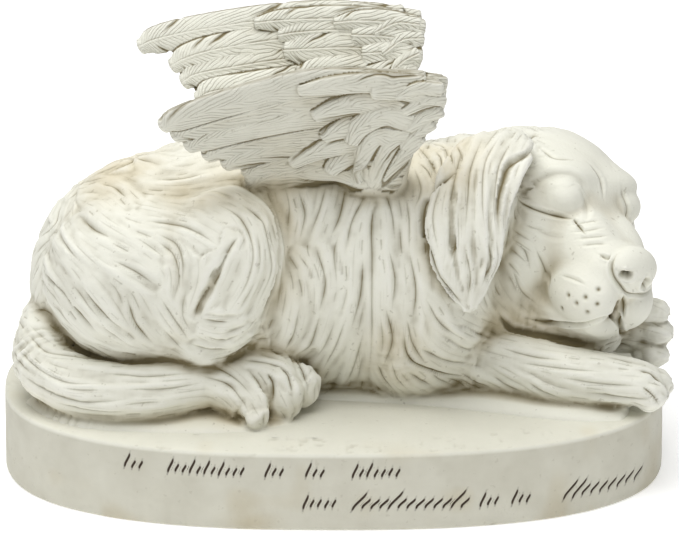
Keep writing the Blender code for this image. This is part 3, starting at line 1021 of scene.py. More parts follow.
# %% The lines of the face
# Half width, depth, and how dark the wash stays in the line, then the lines
FACE_LINES = [
    (0.75, 1.0, 1.0, [
        [(63.7, -6.3, 71.2), (68.2, -5.8, 67.7), (73.4, -6, 65.8), (78.6, -6, 64.4),
         (82.8, -7, 64)],
        [(82.8, -7, 64), (84.6, -9.8, 62.5), (87, -13.3, 60.6)],
    ]),
    # A wide soft valley above the eye, whose depth also paints shade into it
    (1.7, 0.9, 0.0, [
        [(63.5, -4.5, 70.8), (66.1, -3.8, 72.4), (69.6, -1, 75), (73.4, 0.1, 76.8),
         (77.9, -0.2, 78), (82.8, 0.2, 77.5), (87.2, 0.3, 73.8), (88.8, -0.3, 67.7)],
    ]),
    (1.2, 0.4, 0.15, [
        [(68.2, -8.7, 62.1), (73.8, -9.4, 59), (79.7, -10.9, 58.5)],
        [(85.6, -1.1, 73.3), (87.7, -1.7, 67.1), (87, -10.1, 63)],
    ]),
    (0.9, 0.6, 0.7, [
        [(100.2, 11.9, 68), (101.6, 10.2, 64.2), (102.3, 9, 59.4), (104, 0.6, 57.6)],
    ]),
    (0.8, 1.0, 0.9, [
        [(91.2, -20.4, 56.6), (94.6, -22.8, 56.3), (97.6, -21.5, 57.5)],
        [(97.1, -21.7, 56.1), (95.7, -23.6, 53.5), (96.4, -24.9, 49.8), (98.8, -24.5, 46),
         (101.6, -22.3, 42.1), (106.5, -18.3, 40.4), (110, -13.4, 40.7)],
        [(100.2, -22.7, 41.8), (99.9, -18.6, 35.7), (100.2, -18.7, 31.6)],
    ]),
    (1.3, 2.2, 1.0, [
        [(98.2, -25.4, 51.5), (100.9, -25.6, 50.1), (103.6, -25, 51.4)],
        [(108.2, -22, 48.3), (107.5, -21, 44.9), (108.5, -17, 41.5)],
    ]),
    (1.0, 1.5, 0.9, [
        [(67.2, -12.4, 28.7), (73.4, -13.1, 27.8), (80.4, -18.4, 29.2), (87.3, -25.2, 32.3),
         (92.6, -27.2, 35), (96.7, -22, 35.3), (98.8, -22, 40)],
        [(98.5, -21.8, 39.6), (98.8, -18, 30.5), (100.2, -10.1, 22.5), (103.7, -6.5, 19.5)],
    ]),
    (1.2, 1.3, 0.6, [
        [(56.7, -14.7, 33), (58.8, -13.7, 28.8), (61.9, -13.8, 25.1), (67.5, -13.8, 24),
         (73.4, -14.5, 22.8), (80.4, -15.1, 21.9), (86.6, -16.5, 21.3), (93.6, -16.1, 21.1)],
    ]),
    (1.3, 1.5, 0.9, [
        [(43.1, -15.9, 85.6), (39.3, -18.1, 83.5), (34.4, -19.4, 80.3), (31.7, -18.4, 73.9),
         (31, -23.8, 67.4), (32.4, -31.1, 61.4), (35.5, -33.2, 53.6), (39, -34.3, 48.4),
         (43.1, -35, 43.8), (47, -35.2, 40.9)],
    ]),
    (1.7, 1.9, 0.5, [
        [(71.3, 11.9, 83), (68.5, -5.6, 88.6), (64.4, -10.4, 88.3), (60.2, -14.2, 86.8),
         (58.5, -18.8, 83.4), (57.1, -23.3, 79.2), (56.6, -27, 74),
         (56.8, -29, 68)],
    ]),
    (0.9, 0.6, 0.5, [
        [(66.1, 7.4, 90.5), (69.2, 19.4, 84.9), (71.7, 19, 84.7)],
    ]),
    (0.7, 0.4, 0.35, [
        [(62.3, -8, 77), (65.1, -4, 75.5), (68.5, -1.2, 74.1)],
        [(62.3, -8, 75), (65.1, -4.7, 73.5), (68.2, -2.8, 72.1)],
        [(62.6, -8, 72.8), (65.4, -5.1, 71.5), (68.5, -4, 70.3)],
        [(82.1, -8.7, 62.5), (87.3, -9, 63.7), (92.6, -7.2, 63.3)],
        [(82.8, -10.9, 60.7), (88.4, -12.1, 61.9), (93.9, -10.2, 61.9)],
        [(84.2, -13.3, 59.1), (89.8, -14.5, 60.3), (95, -13.2, 60.1)],
        [(85.6, -15.6, 57.4), (90.5, -16.5, 58.5), (94.6, -16.5, 58.5)],
        [(61.9, -10.2, 61.2), (65.1, -10.2, 58.9), (68.2, -10.6, 57.2)],
        [(62.3, -10.7, 57.6), (65.4, -11.2, 55.6), (68.5, -11.6, 53.5)],
        [(61.6, -11.7, 54.3), (64.4, -12.1, 51.8), (67.2, -12.3, 49.3)],
        [(60.2, -12.5, 50.1), (62.6, -12.5, 47.1), (64.7, -12.4, 44.1)],
        [(60.5, -12.8, 45), (62.3, -12.5, 41.5), (63.7, -12.1, 37.9)],
        [(66.5, -8.7, 62.4), (69.9, -9, 61.1), (73.4, -8.8, 60.3)],
        [(78.6, -17.3, 47.1), (82.8, -22, 47.6), (87, -25.6, 46.8)],
    ]),
    (0.6, 0.6, 0.9, [
        [(29.9, -2.4, 82.4), (32.7, -5.3, 81), (33.8, -8.6, 79.3)],
        [(32.4, 1.7, 83.4), (34.8, -2.2, 82), (36.2, -15, 83.7)],
        [(35.5, 5, 83.9), (37.2, 0.6, 82.7), (37.9, -14.1, 85.3)],
        [(38.6, 7.5, 84), (40.4, -9.5, 87.9), (41.1, -14, 86.3)],
        [(42.4, -3.3, 89.5), (43.8, -9.1, 88.9), (44.2, -13, 87.4)],
    ]),
    (0.8, 1.0, 0.8, [
        [(-18.8, -33.3, 19.5), (-16, -34.2, 16.8), (-15, -36.1, 13.9), (-15.5, -36, 6)],
        [(-13.2, -24.3, 18.1), (-10.8, -29.3, 16.4), (-9.4, -31.3, 11)],
        [(-23, -35.5, 18.1), (-21.2, -36.7, 14.8), (-21.2, -37.5, 8)],
        [(105.2, -31.4, 17.2), (109.6, -31.2, 15.5), (114, -31.7, 10)],
        [(106.3, -35.3, 13), (110.1, -36.5, 10), (112.5, -36, 6)],
        [(24, -29, 31.2), (24.7, -28.1, 23.4), (27.1, -26.9, 18.4), (33.4, -24.8, 14.5),
         (40.4, -22.1, 11.2), (49.1, -19.8, 8.8)],
    ]),
    # A wide soft valley down the front of the thigh, whose depth also paints shade into it
    (2.2, 0.7, 0.0, [
        [(-25.1, -20.2, 78), (-20.9, -24.3, 73.6), (-18.4, -29.4, 67), (-18.4, -32.4, 58.2),
         (-21.6, -33.1, 47.2), (-25.1, -33.9, 37.7), (-29.2, -36.7, 32.5)],
    ]),
]
# The place, radius and depth of each round pit: seven of whiskers, then three in the nostrils
PITS = [((91.2, -27.4, 46), 0.85, 0.8), ((86.6, -27.4, 43), 0.85, 0.8),
        ((80.7, -23.3, 42.1), 0.85, 0.8), ((87.3, -28.2, 37.7), 0.85, 0.8),
        ((90.8, -29.1, 41.1), 0.85, 0.8), ((83.5, -26.1, 40.2), 0.85, 0.8),
        ((78.6, -20.9, 36.2), 0.85, 0.8), ((99.4, -25.6, 50.5), 1.3, 1.6),
        ((101.6, -25.6, 50.2), 1.5, 2.0), ((108, -21.2, 45.6), 1.4, 1.8)]
print("groups of face lines:", len(FACE_LINES), "pits:", len(PITS))

# %% [markdown]
# Fur, face and feathers are now worked into the skin as heights along its normals. Where a form is
# smooth on the real casting, such as the forehead or the nose, the fur's height fades out.

# %% Fur and face
near_wings = melted_field(wings[False] + wings[True], points)
near_head = melted_field(head_forms, points)
near_ears = melted_field(ear_forms + far_ear_forms, points)
near_ground = melted_field(ground_forms, points)
near_body = melted_field(body_forms, points)
head_place = (points - HEAD_AT) @ HEAD_AXES
is_wing = 1 - ramp(near_wings, 0.2, 2.0)
is_ear = (1 - ramp(near_ears, 0.1, 1.0)) * (1 - is_wing)
is_head = (1 - ramp(near_head, 0.1, 1.5)) * (1 - is_ear)
is_face = is_head * ramp(head_place[:, 0], -14, 12)
is_muzzle = is_head * ramp(head_place[:, 0], 22, 32)
is_ground = (1 - ramp(near_ground, 0.1, 1.0)) * ramp(near_body, 0.3, 1.5)
is_ground = np.maximum(is_ground, 1 - ramp(points[:, 2], 0.3, 2.5))

way = fur_way(points, normals)
locks = streaks(points, way, 11, 4.6, 12)
strands = streaks(points, way, 12, 2.0, 8)
fur_share = (1 - is_wing) * (1 - 0.85 * is_face) * (1 - 0.9 * is_muzzle) * (1 - 0.95 * is_ground)
height = fur_share * (0.34 * locks + 0.13 * strands)
wash_and_shade = fur_share * (0.10 * np.clip(-locks, 0, 2) + 0.07 * np.clip(-strands, 0, 2))

FUR_CUT = (0.85, 0.55, 0.62)  # half width, depth, and how dark the wash stays in the line
rows = []
for name, lines in FUR_STROKES.items():
    rows += line_samples(lines, *FUR_CUT)
    if name not in ("ear", "cheek", "brow", "neck", "tail"):
        rows += line_samples([mirrored(line) for line in lines], *FUR_CUT)
for half_width, depth, drawn, lines in FACE_LINES:
    rows += line_samples(lines, half_width, depth, drawn)
strokes_at = np.vstack(rows)[:, :3]
rows += traced_strokes(points, normals, way, np.clip(fur_share, 0, 1) ** 2 + 1e-9, strokes_at)
print("strokes:", len(rows))
depth, across, stroke = nearest_stroke(points, normals, np.vstack(rows))
kept = (1 - is_wing) * (1 - 0.95 * is_ground)
height -= depth * kept
stroke *= kept
# Deeper cuts hold more wash; in the wide soft valleys it is painted shade
wash_and_shade += 0.34 * np.clip(depth - 0.3, 0, 1.3) * kept
for pit, radius, pit_depth in PITS:
    near = np.exp(-((points - pit) ** 2).sum(1) / radius**2)
    height -= pit_depth * near
    wash_and_shade = np.maximum(wash_and_shade, near)
print("deepest cut in fur and face, mm:", round(-height.min(), 2))

# %% [markdown]
# A feather has a raised shaft, and barbs that run from it out towards the tip. Each wing point
# finds its feather and its place on it, along and across, and the barbs lie at even steps in a mix
# of the two. A grain bends them a little, and some of them part at the edge.

# %% Feathers
def feather_places(blades, points):
    """For each point its feather's number, and its place along and across it in units."""
    best = np.full(len(points), 2.5)
    which = np.full(len(points), -1)
    along, aside, width = np.zeros((3, len(points)))
    width += 1
    for number, blade in enumerate(blades):
        close = np.all((points > blade.low - 2) & (points < blade.high + 2), axis=1)
        index = np.flatnonzero(close)
        gap = blade.distance(points[index])
        index = index[gap < best[index]]
        gap = blade.distance(points[index])
        best[index] = gap
        share, wide, _, _, side, _ = blade.local(points[index])
        which[index] = number
        along[index] = share * blade.length
        aside[index] = side
        width[index] = wide
    return which, along, aside, width


def scattered(numbers):
    """A number from 0 to 1 for each whole number, always the same one."""
    return np.modf(np.abs(np.sin(numbers * 12.9898)) * 43758.5453)[0]


BARB_SPACING = 1.25
PARTING = 2.5
feather_height, feather_wash, barb_phase, barb_share = np.zeros((4, len(points)))
bend = Grain(21, 7.0).at(points)
fine_bend = Grain(22, 2.5).at(points)
for far, forms in wings.items():
    near = np.flatnonzero(melted_field(forms, points) < 1.5)
    which, along, aside, width = feather_places(forms[1:], points[near])
    shallow = (normals[near, 1] < 0) & (not far)
    angle = np.where(shallow, math.radians(14), math.radians(27))
    side = np.abs(aside)
    phase = (along * np.sin(angle) + side * np.cos(angle) + 1.2 * bend[near]
             + 0.3 * fine_bend[near]) / BARB_SPACING
    chance = scattered(np.floor(phase / PARTING + 0.5) + 17 * which + 5 * (aside > 0))
    cut = (0.5 + 0.5 * np.cos(2 * math.pi * phase / PARTING)) ** 4
    toward_edge = ramp(side / width, 0.2, 0.8)
    off_shaft = ramp(side, 0.15, 0.5)
    shaft_share = np.where(shallow, 0.25, 1.0) * (which >= 0)
    fading = 0.35 + 0.65 * ramp(bend[near] + 0.6 * fine_bend[near], -0.5, 0.4)
    shaft_share = shaft_share * fading * (1 - ramp(along, 30, 70) * 0.5)
    shaft = np.exp(-((side / 0.4) ** 2)) - 0.8 * np.exp(-(((side - 0.8) / 0.35) ** 2))
    rim = ramp(side / width, 0.84, 0.97) * (which >= 0)
    parted = np.where(chance > 0.72, chance, 0.25 * chance) * cut * toward_edge
    feather_height[near] = 0.16 * shaft_share * shaft - 0.55 * parted - 0.35 * rim
    dark = 1.5 if far else 1.0
    feather_wash[near] = dark * np.maximum(1.1 * parted, 0.65 * rim)
    across[near] = aside - 0.45
    stroke[near] = dark * shaft_share * (1 - ramp(side, 0.9, 1.5)) * is_wing[near] + (
        stroke[near] * (1 - is_wing[near]))
    barb_phase[near] = phase
    barb_share[near] = (off_shaft * (which >= 0) * np.where(shallow, 0.7, 0.9)
                        * (0.35 + 0.65 * ramp(bend[near] - fine_bend[near], -0.6, 0.5)))
height += is_wing * feather_height
wash_and_shade = np.maximum(wash_and_shade, is_wing * feather_wash)
barb_share *= is_wing
print("wing points:", int((is_wing > 0.5).sum()))

# %% [markdown]
# With the heights applied, the colour comes from the shape. A thin brown wash was brushed on and
# wiped off, so it stays in the fine cuts. The broad hollows, the creases between the parts and the
# near wing's outer face are painted darker as well, as shade. How hollow a point is shows when the
# skin is relaxed: hollows rise and crests sink. The result is kept as attributes for the material.

# %% Relief, hollows, stains and painted shade
points = points + height[:, None] * normals
set_points(skin.data, points)
fine = relaxed(skin.data, points, 0.6, 3) - points
broad = relaxed(skin.data, points, 0.7, 14) - points
normals = vertex_normals(skin.data)
hollow = (fine * normals).sum(1) / 0.12
deep = (broad * normals).sum(1) / 0.5
hollow = relaxed_values(skin.data, hollow, 0.4, 1)
deep = relaxed_values(skin.data, deep, 0.5, 2)
# Fine hollows hold the brown wash; broad hollows (deep) get painted shade, more on the wings
wash_and_shade = np.clip(0.9 * wash_and_shade + 0.18 * np.clip(hollow, 0, 1.5)
               + (0.32 + 0.2 * is_wing) * np.clip(deep, 0, 2), 0, 1.5)
crest = np.clip(-0.6 * deep - 0.2 * hollow, 0, 1)

valley = read_rows(skin.data.attributes["valley"].data, "value", 1)[:, 0]
skin.data.attributes.remove(skin.data.attributes["valley"])
# Painted shade: the near wing's outer face, which leans towards the viewer, is made darker
near_wing_shade = is_wing * ramp(-points[:, 1], -6, 0) * ramp(points[:, 2], 76, 92)
wash_and_shade += 0.2 * near_wing_shade
print("valleys, 5% and 95%:", np.percentile(valley, (5, 95)).round(2))
# The valleys of the coarse skin are painted darker too: painted shade, less on the wings
wash_and_shade = np.clip(wash_and_shade + 0.5 * np.clip(valley / 1.5, 0, 1.5) * (1 - 0.6 * is_wing), 0, 1.5)

# The strength, middle and reach of each stain. The first four are warm stains on the rump, the
# thigh, the neck and the elbow; the last four are painted shade, down the front of the thigh, on
# the ground under the tail, under the chin and on the ground in front
STAINS_AND_SHADE = [
    (0.8, (-74, 0, 78), (22, 22, 10)),
    (0.7, (-44, -18, 80), (20, 16, 10)),
    (1.3, (36, -6, 84), (14, 18, 10)),
    (0.8, (24, -24, 20), (14, 10, 14)),
    (0.6, (-20, -20, 60), (10, 12, 28)),
    (0.5, (-98, -22, 4), (16, 14, 8)),
    (0.6, (60, -12, 30), (14, 12, 8)),
    (0.5, (-30, -36, 4), (40, 12, 6)),
]
patches = Grain(31, 9.0).at(points)
stain_and_shade = np.zeros(len(points))
for strength, at, size in STAINS_AND_SHADE:
    reach = (((points - at) / np.array(size)) ** 2).sum(1)
    stain_and_shade = np.maximum(stain_and_shade, strength * np.exp(-reach))
# Warm painted shade is laid in the valleys too, on top of the patchy stains
stain_and_shade = np.clip(stain_and_shade * (0.75 + 0.5 * patches) + 0.5 * np.clip(valley / 1.5, 0, 1), 0, 1)
keep_values(skin.data, {
    "wash_and_shade": wash_and_shade, "stain_and_shade": stain_and_shade, "crest": crest, "across": across, "stroke": stroke,
    "barb": barb_phase, "barb_share": barb_share,
})
layer = skin.data.attributes.new("skin_normal", "FLOAT_VECTOR", "POINT")
layer.data.foreach_set("vector", normals.astype(np.float32).ravel())

SKIN_MARGIN = 0.02  # how far the skin stays inside the CAD model's box
low, high = np.array(cad_low) / UNIT + SKIN_MARGIN, np.array(cad_high) / UNIT - SKIN_MARGIN
shift = np.array((0, 0, BASE_HEIGHT / UNIT))
set_points(skin.data, np.clip(points + shift, low, high) - shift)
skin.data.transform(
    Matrix.Translation((0, 0, BASE_HEIGHT)) @ Matrix.Diagonal((UNIT, UNIT, UNIT, 1.0))
)

# %% [markdown]
# One mesh of this size is too heavy for some uses, so it is cut by planes into six closed pieces
# that meet face to face. Each keeps the normals of the whole skin, so no seam shows.

# %% Cut into pieces
def set_smooth(mesh):
    mesh.polygons.foreach_set("use_smooth", np.ones(len(mesh.polygons), bool))


def triangle_count(mesh):
    return sum(len(face.vertices) - 2 for face in mesh.polygons)


def cut_piece(name, planes):
    """The part of the skin behind all planes, each a place and a direction out of the part."""
    bm = bmesh.new()
    bm.from_mesh(skin.data)
    for place, out in planes:
        place = Vector(place) * UNIT + Vector((0, 0, BASE_HEIGHT))
        made = bmesh.ops.bisect_plane(
            bm, geom=bm.verts[:] + bm.edges[:] + bm.faces[:], dist=1e-7,
            plane_co=place, plane_no=out, clear_outer=True,
        )
        rim = [g for g in made["geom_cut"] if isinstance(g, bmesh.types.BMEdge)]
        bmesh.ops.holes_fill(bm, edges=[e for e in rim if e.is_boundary], sides=0)
    obj = object_from(bm, name)
    kept = obj.data.attributes["skin_normal"]
    normals = unit(read_rows(kept.data, "vector", 3), 1e-9)
    set_smooth(obj.data)
    obj.data.normals_split_custom_set_from_vertices(normals.tolist())
    obj.data.attributes.remove(obj.data.attributes["skin_normal"])
    print(name, triangle_count(obj.data), "triangles")
    return obj


front = ((34, 0, 0), (1, 0, -0.083))
behind = (front[0], tuple(-n for n in front[1]))
under_wings = ((0, 0, 90), (0, 0, 1))
over_back = ((0, 0, 90), (0, 0, -1))
figure_pieces = [
    cut_piece("hindquarters", [front, under_wings, ((-36, 0, 0), (1, 0, 0))]),
    cut_piece("body_middle", [front, under_wings, ((-36, 0, 0), (-1, 0, 0))]),
    cut_piece("near_wing", [front, over_back, ((0, 2, 0), (0, 1, 0))]),
    cut_piece("far_wing", [front, over_back, ((0, 2, 0), (0, -1, 0))]),
    cut_piece("head", [behind, ((0, 0, 31), (0, 0, -1))]),
    cut_piece("forelegs", [behind, ((0, 0, 31), (0, 0, 1))]),
]
bpy.data.objects.remove(skin)

# %% [markdown]
# The base has a flat top and an upright wall, whose edges have worn round and chipped a little. Two
# rows of shallow slanted tool strokes, in groups, run along the front wall and are painted in dark
# brown. They are worked out in millimetres, along the wall and up it.

# %% The strokes on the wall
# Each row's middle and height, then its groups' start, size and boldness: a group of size n has
# 2n - 1 strokes
MARK_ROWS = [
    (21.8, 5.2, [(-71.5, 2, 0), (-56.5, 6, 0), (-23, 2, 0), (-9, 2, 0), (7, 4, 0)]),
    (10.2, 5.2, [(-10, 3, 0), (8, 7, 1), (51, 2, 0), (62, 2, 0), (81, 5, 1)]),
]


def mark_strokes():
    """Two rows of slanted gouges on the wall, in groups, as lines of (x, z) in millimetres."""
    chance = np.random.default_rng(41)
    thin, bold = [], []
    shares = np.array((-1, -0.5, 0, 0.5, 1))
    for middle, tall, groups in MARK_ROWS:
        for start, count, is_bold in groups:
            for number in range(2 * count - 1):
                x = start + (3.1 if is_bold else 2.5) * number
                z = middle - 0.025 * max(0.0, x - 25) + chance.uniform(-0.25, 0.25)
                is_tall = number == 0 or chance.uniform() < 0.2
                half = tall * (0.55 if is_tall else 0.3) * (1.25 if is_bold else 1.0)
                lean = (0.75 if is_bold else 0.34) + chance.uniform(-0.02, 0.02)
                bow = 0.3 if is_bold else 0.15
                lift = half * (0.3 if is_tall else 0.0)
                rise = lift + shares * half
                line = zip(x + lean * rise + bow * np.sin(math.pi * shares), z + rise)
                (bold if is_bold else thin).append(list(line))
    return thin, bold


def on_wall(lines):
    """The lines of (x, z) as places on the oval's front wall, in millimetres."""
    half_length, half_width, power = BASE_LENGTH * MM / 2, BASE_WIDTH * MM / 2, OVAL_SQUARENESS
    return [[(x, -half_width * (1 - (abs(x) / half_length) ** power) ** (1 / power), z)
             for x, z in line] for line in lines]


print("strokes on the wall:", [len(lines) for lines in mark_strokes()])

# %% [markdown]
# The oval's outline is spaced evenly, but much closer at the front, where the strokes are. It is
# raised to a wall, its rims are rounded, and the wall is divided finely enough for the relief.

# %% The oval base
def oval_turns(segments, front_share):
    """Turns round the oval that space its segments evenly, with the front half's much closer."""
    turn = np.linspace(-math.pi / 2, 1.5 * math.pi, 20001)
    power = 2 / OVAL_SQUARENESS
    c, s = np.cos(turn), np.sin(turn)
    x = np.sign(c) * np.abs(c) ** power * BASE_LENGTH / 2
    y = np.sign(s) * np.abs(s) ** power * BASE_WIDTH / 2
    step = np.hypot(np.diff(x), np.diff(y))
    weight = np.where(y[1:] < 0, front_share, 1 - front_share)
    run = np.concatenate([[0], np.cumsum(step * weight)])
    wanted = np.linspace(0, run[-1], segments, endpoint=False)
    return np.interp(wanted, run, x), np.interp(wanted, run, y)


def oval_base():
    segments, rows = 960, 62
    bm = bmesh.new()
    bmesh.ops.create_circle(bm, cap_ends=True, segments=segments, radius=1.0)
    in_turn = sorted(bm.verts, key=lambda v: math.atan2(v.co.x, -v.co.y))
    for vertex, x, y in zip(in_turn, *oval_turns(segments, 0.78)):
        vertex.co.x, vertex.co.y = x, y
    made = bmesh.ops.extrude_face_region(bm, geom=bm.faces[:])
    top = [v for v in made["geom"] if isinstance(v, bmesh.types.BMVert)]
    bmesh.ops.translate(bm, verts=top, vec=(0, 0, BASE_HEIGHT))
    bmesh.ops.recalc_face_normals(bm, faces=bm.faces[:])
    bm.normal_update()
    rims = [e for e in bm.edges if abs(e.verts[0].co.z - e.verts[1].co.z) < 1e-6]
    bmesh.ops.bevel(
        bm, geom=rims, offset=0.0012, affect="EDGES", segments=4, profile=0.5, material=-1
    )
    upright = [e for e in bm.edges if abs(e.verts[0].co.z - e.verts[1].co.z) > BASE_HEIGHT / 2]
    bmesh.ops.subdivide_edges(bm, edges=upright, cuts=rows, use_grid_fill=True)
    top_face = max(bm.faces, key=lambda f: f.calc_center_median().z + f.calc_area())
    for thickness in (0.0006, 0.0008, *[0.0016] * 8):
        bmesh.ops.inset_region(bm, faces=[top_face], thickness=thickness)
    return object_from(bm, "oval_base")


base = oval_base()
print("plain base:", len(base.data.vertices), "points")

# %% [markdown]
# The strokes are cut, the rims are chipped where a coarse grain is high, and the whole surface gets
# slight waves. The box of the CAD model is kept, and so is the flat underside. Dirt stays in the
# chips, and the upright wall below its top rim is painted darker than the top, as shade.

# %% Wear and painted shade on the base
TOP = BASE_HEIGHT * MM
BASE_MARGIN = 0.01  # how far the base stays inside the CAD model's box
points = mesh_points(base.data) * MM
normals = vertex_normals(base.data)
thin, bold = mark_strokes()
rows = line_samples(on_wall(thin), 0.45, 0.45, 1.0) + line_samples(on_wall(bold), 0.6, 0.55, 1.0)
depth, across, stroke = nearest_stroke(points, normals, np.vstack(rows), keep=0.75)
rim = np.exp(-((points[:, 2] - TOP) / 1.2) ** 2) + np.exp(-((points[:, 2]) / 1.4) ** 2)
wear = Grain(51, 5.0).at(points) * 0.5 + Grain(52, 1.6).at(points) * 0.5
chips = ramp(wear, 0.35, 0.8) * np.minimum(rim, 1)
waves = 0.10 * Grain(53, 14.0).at(points) + 0.05 * Grain(54, 4.0).at(points)
height = -depth - 0.55 * chips + waves - 0.12
flat_under = ramp(points[:, 2], 0.0, 0.5)
points = points + (height * flat_under)[:, None] * normals
low, high = np.array(cad_low) * MM + BASE_MARGIN, np.array(cad_high) * MM - BASE_MARGIN
points = np.clip(points, low, (*high[:2], TOP))
set_points(base.data, points / MM)
# Painted shade: the upright wall is made darker than the top, except at its top rim
wall_shade = ramp(np.hypot(normals[:, 0], normals[:, 1]), 0.3, 0.9)
wall_shade *= ramp(TOP - 0.5 - points[:, 2], 0.3, 1.2)
streaky = ramp(Grain(55, 3.0).at(points), 0.3, 0.9)
wash_and_shade = np.clip(0.4 * chips + 0.06 * streaky + 0.26 + 0.4 * wall_shade, 0, 1.2)
stain_and_shade = np.clip(0.6 * np.exp(-(((points - (-28, -63, 3)) / (8, 6, 4)) ** 2).sum(1))
                + 0.35 * ramp(Grain(56, 11.0).at(points), 0.2, 0.9), 0, 1)
keep_values(base.data, {"wash_and_shade": wash_and_shade, "stain_and_shade": stain_and_shade, "across": across, "stroke": stroke})
set_smooth(base.data)
print("base:", triangle_count(base.data), "triangles")

# %% [markdown]
# The materials are shader nodes. One helper adds a node and fills its inputs, each with a value or
# with a link from another node's socket, and the others name the few kinds that are used often.

# %% Helpers for shader nodes
def fill(tree, node, inputs):
    for name, value in inputs.items():
        if isinstance(value, bpy.types.NodeSocket):
            tree.links.new(value, node.inputs[name])
        else:
            node.inputs[name].default_value = value
    return node


def add_node(tree, kind, inputs, **settings):
    node = tree.nodes.new(kind)
    for name, value in settings.items():
        setattr(node, name, value)
    return fill(tree, node, inputs)


def maths(tree, operation, *values, clamp=False):
    settings = {"operation": operation, "use_clamp": clamp}
    return add_node(tree, "ShaderNodeMath", dict(enumerate(values)), **settings).outputs[0]


def soft_step(tree, value, low, high, first=0.0, last=1.0):
    """From the first value to the last, as the value rises from low to high."""
    inputs = {"Value": value, "From Min": low, "From Max": high, "To Min": first, "To Max": last}
    node = add_node(tree, "ShaderNodeMapRange", inputs, interpolation_type="SMOOTHSTEP")
    return node.outputs["Result"]


def blend(tree, share, under, over):
    inputs = {"Factor": share, 6: under, 7: over}
    return add_node(tree, "ShaderNodeMix", inputs, data_type="RGBA").outputs[2]


def new_group(name, inputs, outputs):
    """A node group with its inputs' first values, as its tree, its given sockets and its result."""
    tree = bpy.data.node_groups.new(name, "ShaderNodeTree")
    for label, value in inputs.items():
        kind = "NodeSocketColor" if isinstance(value, tuple) else "NodeSocketFloat"
        socket = tree.interface.new_socket(label, in_out="INPUT", socket_type=kind)
        socket.default_value = value
    for label in outputs:
        kind = "NodeSocketColor" if label == "Colour" else "NodeSocketFloat"
        tree.interface.new_socket(label, in_out="OUTPUT", socket_type=kind)
    given = add_node(tree, "NodeGroupInput", {}).outputs
    return tree, given, add_node(tree, "NodeGroupOutput", {})


# %% [markdown]
# The finish is matt ivory paint on resin. A shader node group mixes the ivory with the olive-brown
# wash and the warm stains, which carry painted shade too, adds a faint speckle, and gives back a
# colour, a roughness and a height. The group is built once, and each material places it with
# values of its own.

# %% The aged finish as a node group
def aged_finish():
    tree, given, result = new_group("Aged finish", {
        "Ivory": (0.80, 0.795, 0.70, 1),
        "Wash and shade colour": (0.20, 0.165, 0.085, 1),
        "Stain and shade colour": (0.62, 0.52, 0.32, 1),
        "Wash": 0.0, "Stain": 0.0, "Crest": 0.0,
        "Wash amount": 0.8, "Stain amount": 0.8,
        "Speckle": 0.3, "Grit scale": 900.0,
    }, ("Colour", "Roughness", "Height"))
    place = add_node(tree, "ShaderNodeTexCoord", {}).outputs["Object"]

    def noise(scale, detail, roughness=0.55):
        inputs = {"Scale": scale, "Detail": detail, "Roughness": roughness, "Vector": place}
        return add_node(tree, "ShaderNodeTexNoise", inputs).outputs["Fac"]

    patchy = noise(70, 3)
    uneven = maths(tree, "ADD", 0.55, maths(tree, "MULTIPLY", patchy, 0.9))

    def laid(name):
        spread = maths(tree, "MULTIPLY", given[name], uneven)
        return maths(tree, "MULTIPLY", spread, given[name + " amount"], clamp=True)

    # The Wash and Stain inputs bring painted shade with the brown wash and the stains
    washed_and_shaded, stained_and_shaded = laid("Wash"), laid("Stain")
    veil = maths(tree, "MULTIPLY", soft_step(tree, noise(22, 4), 0.48, 0.75), 0.28)
    specks = maths(tree, "MULTIPLY", soft_step(tree, noise(420, 2), 0.66, 0.74), given["Speckle"])
    colour = blend(tree, veil, given["Ivory"], (0.72, 0.71, 0.60, 1))
    colour = blend(tree, stained_and_shaded, colour, given["Stain and shade colour"])
    colour = blend(tree, washed_and_shaded, colour, given["Wash and shade colour"])
    colour = blend(tree, specks, colour, given["Wash and shade colour"])
    wiped = maths(tree, "MULTIPLY", given["Crest"], 0.35, clamp=True)
    rough = maths(tree, "ADD", 0.58, maths(tree, "MULTIPLY", patchy, 0.18))
    grit = noise(given["Grit scale"], 3, 0.5)
    fill(tree, result, {
        "Colour": blend(tree, wiped, colour, (0.88, 0.87, 0.83, 1)),
        "Roughness": maths(tree, "ADD", rough, maths(tree, "MULTIPLY", washed_and_shaded, 0.1), clamp=True),
        "Height": maths(tree, "ADD", grit, maths(tree, "MULTIPLY", patchy, 1.5)),
    })
    return tree


FINISH = aged_finish()
print("nodes in the finish:", len(FINISH.nodes))

# %% [markdown]
# The finest lines are drawn by the material, from a distance that was kept on the mesh. The line
# lies where that distance crosses nought, and for the barbs wherever it crosses a whole number.

# %% Fine lines as node groups
def drawn_line(name, wave):
    tree, given, result = new_group(
        name, {"Distance": 0.0, "Strength": 1.0, "Half width": 0.3}, ("Mask",))
    distance = given["Distance"]
    if wave:
        distance = maths(tree, "PINGPONG", distance, 0.5)
    distance = maths(tree, "ABSOLUTE", distance)
    line = soft_step(tree, distance, 0.0, given["Half width"], 1.0, 0.0)
    fill(tree, result, {"Mask": maths(tree, "MULTIPLY", line, given["Strength"], clamp=True)})
    return tree


STROKE_LINE = drawn_line("Stroke line", wave=False)
BARB_LINE = drawn_line("Barb lines", wave=True)
print("line groups:", STROKE_LINE.name, "and", BARB_LINE.name)

# %% [markdown]
# A material reads the mesh's attributes, adds its lines to the wash and takes them off the height,
# and passes both through the finish. In a painted one the lines are filled with dark paint as well.

# %% Cast resin
PAINT = (0.05, 0.032, 0.02, 1)


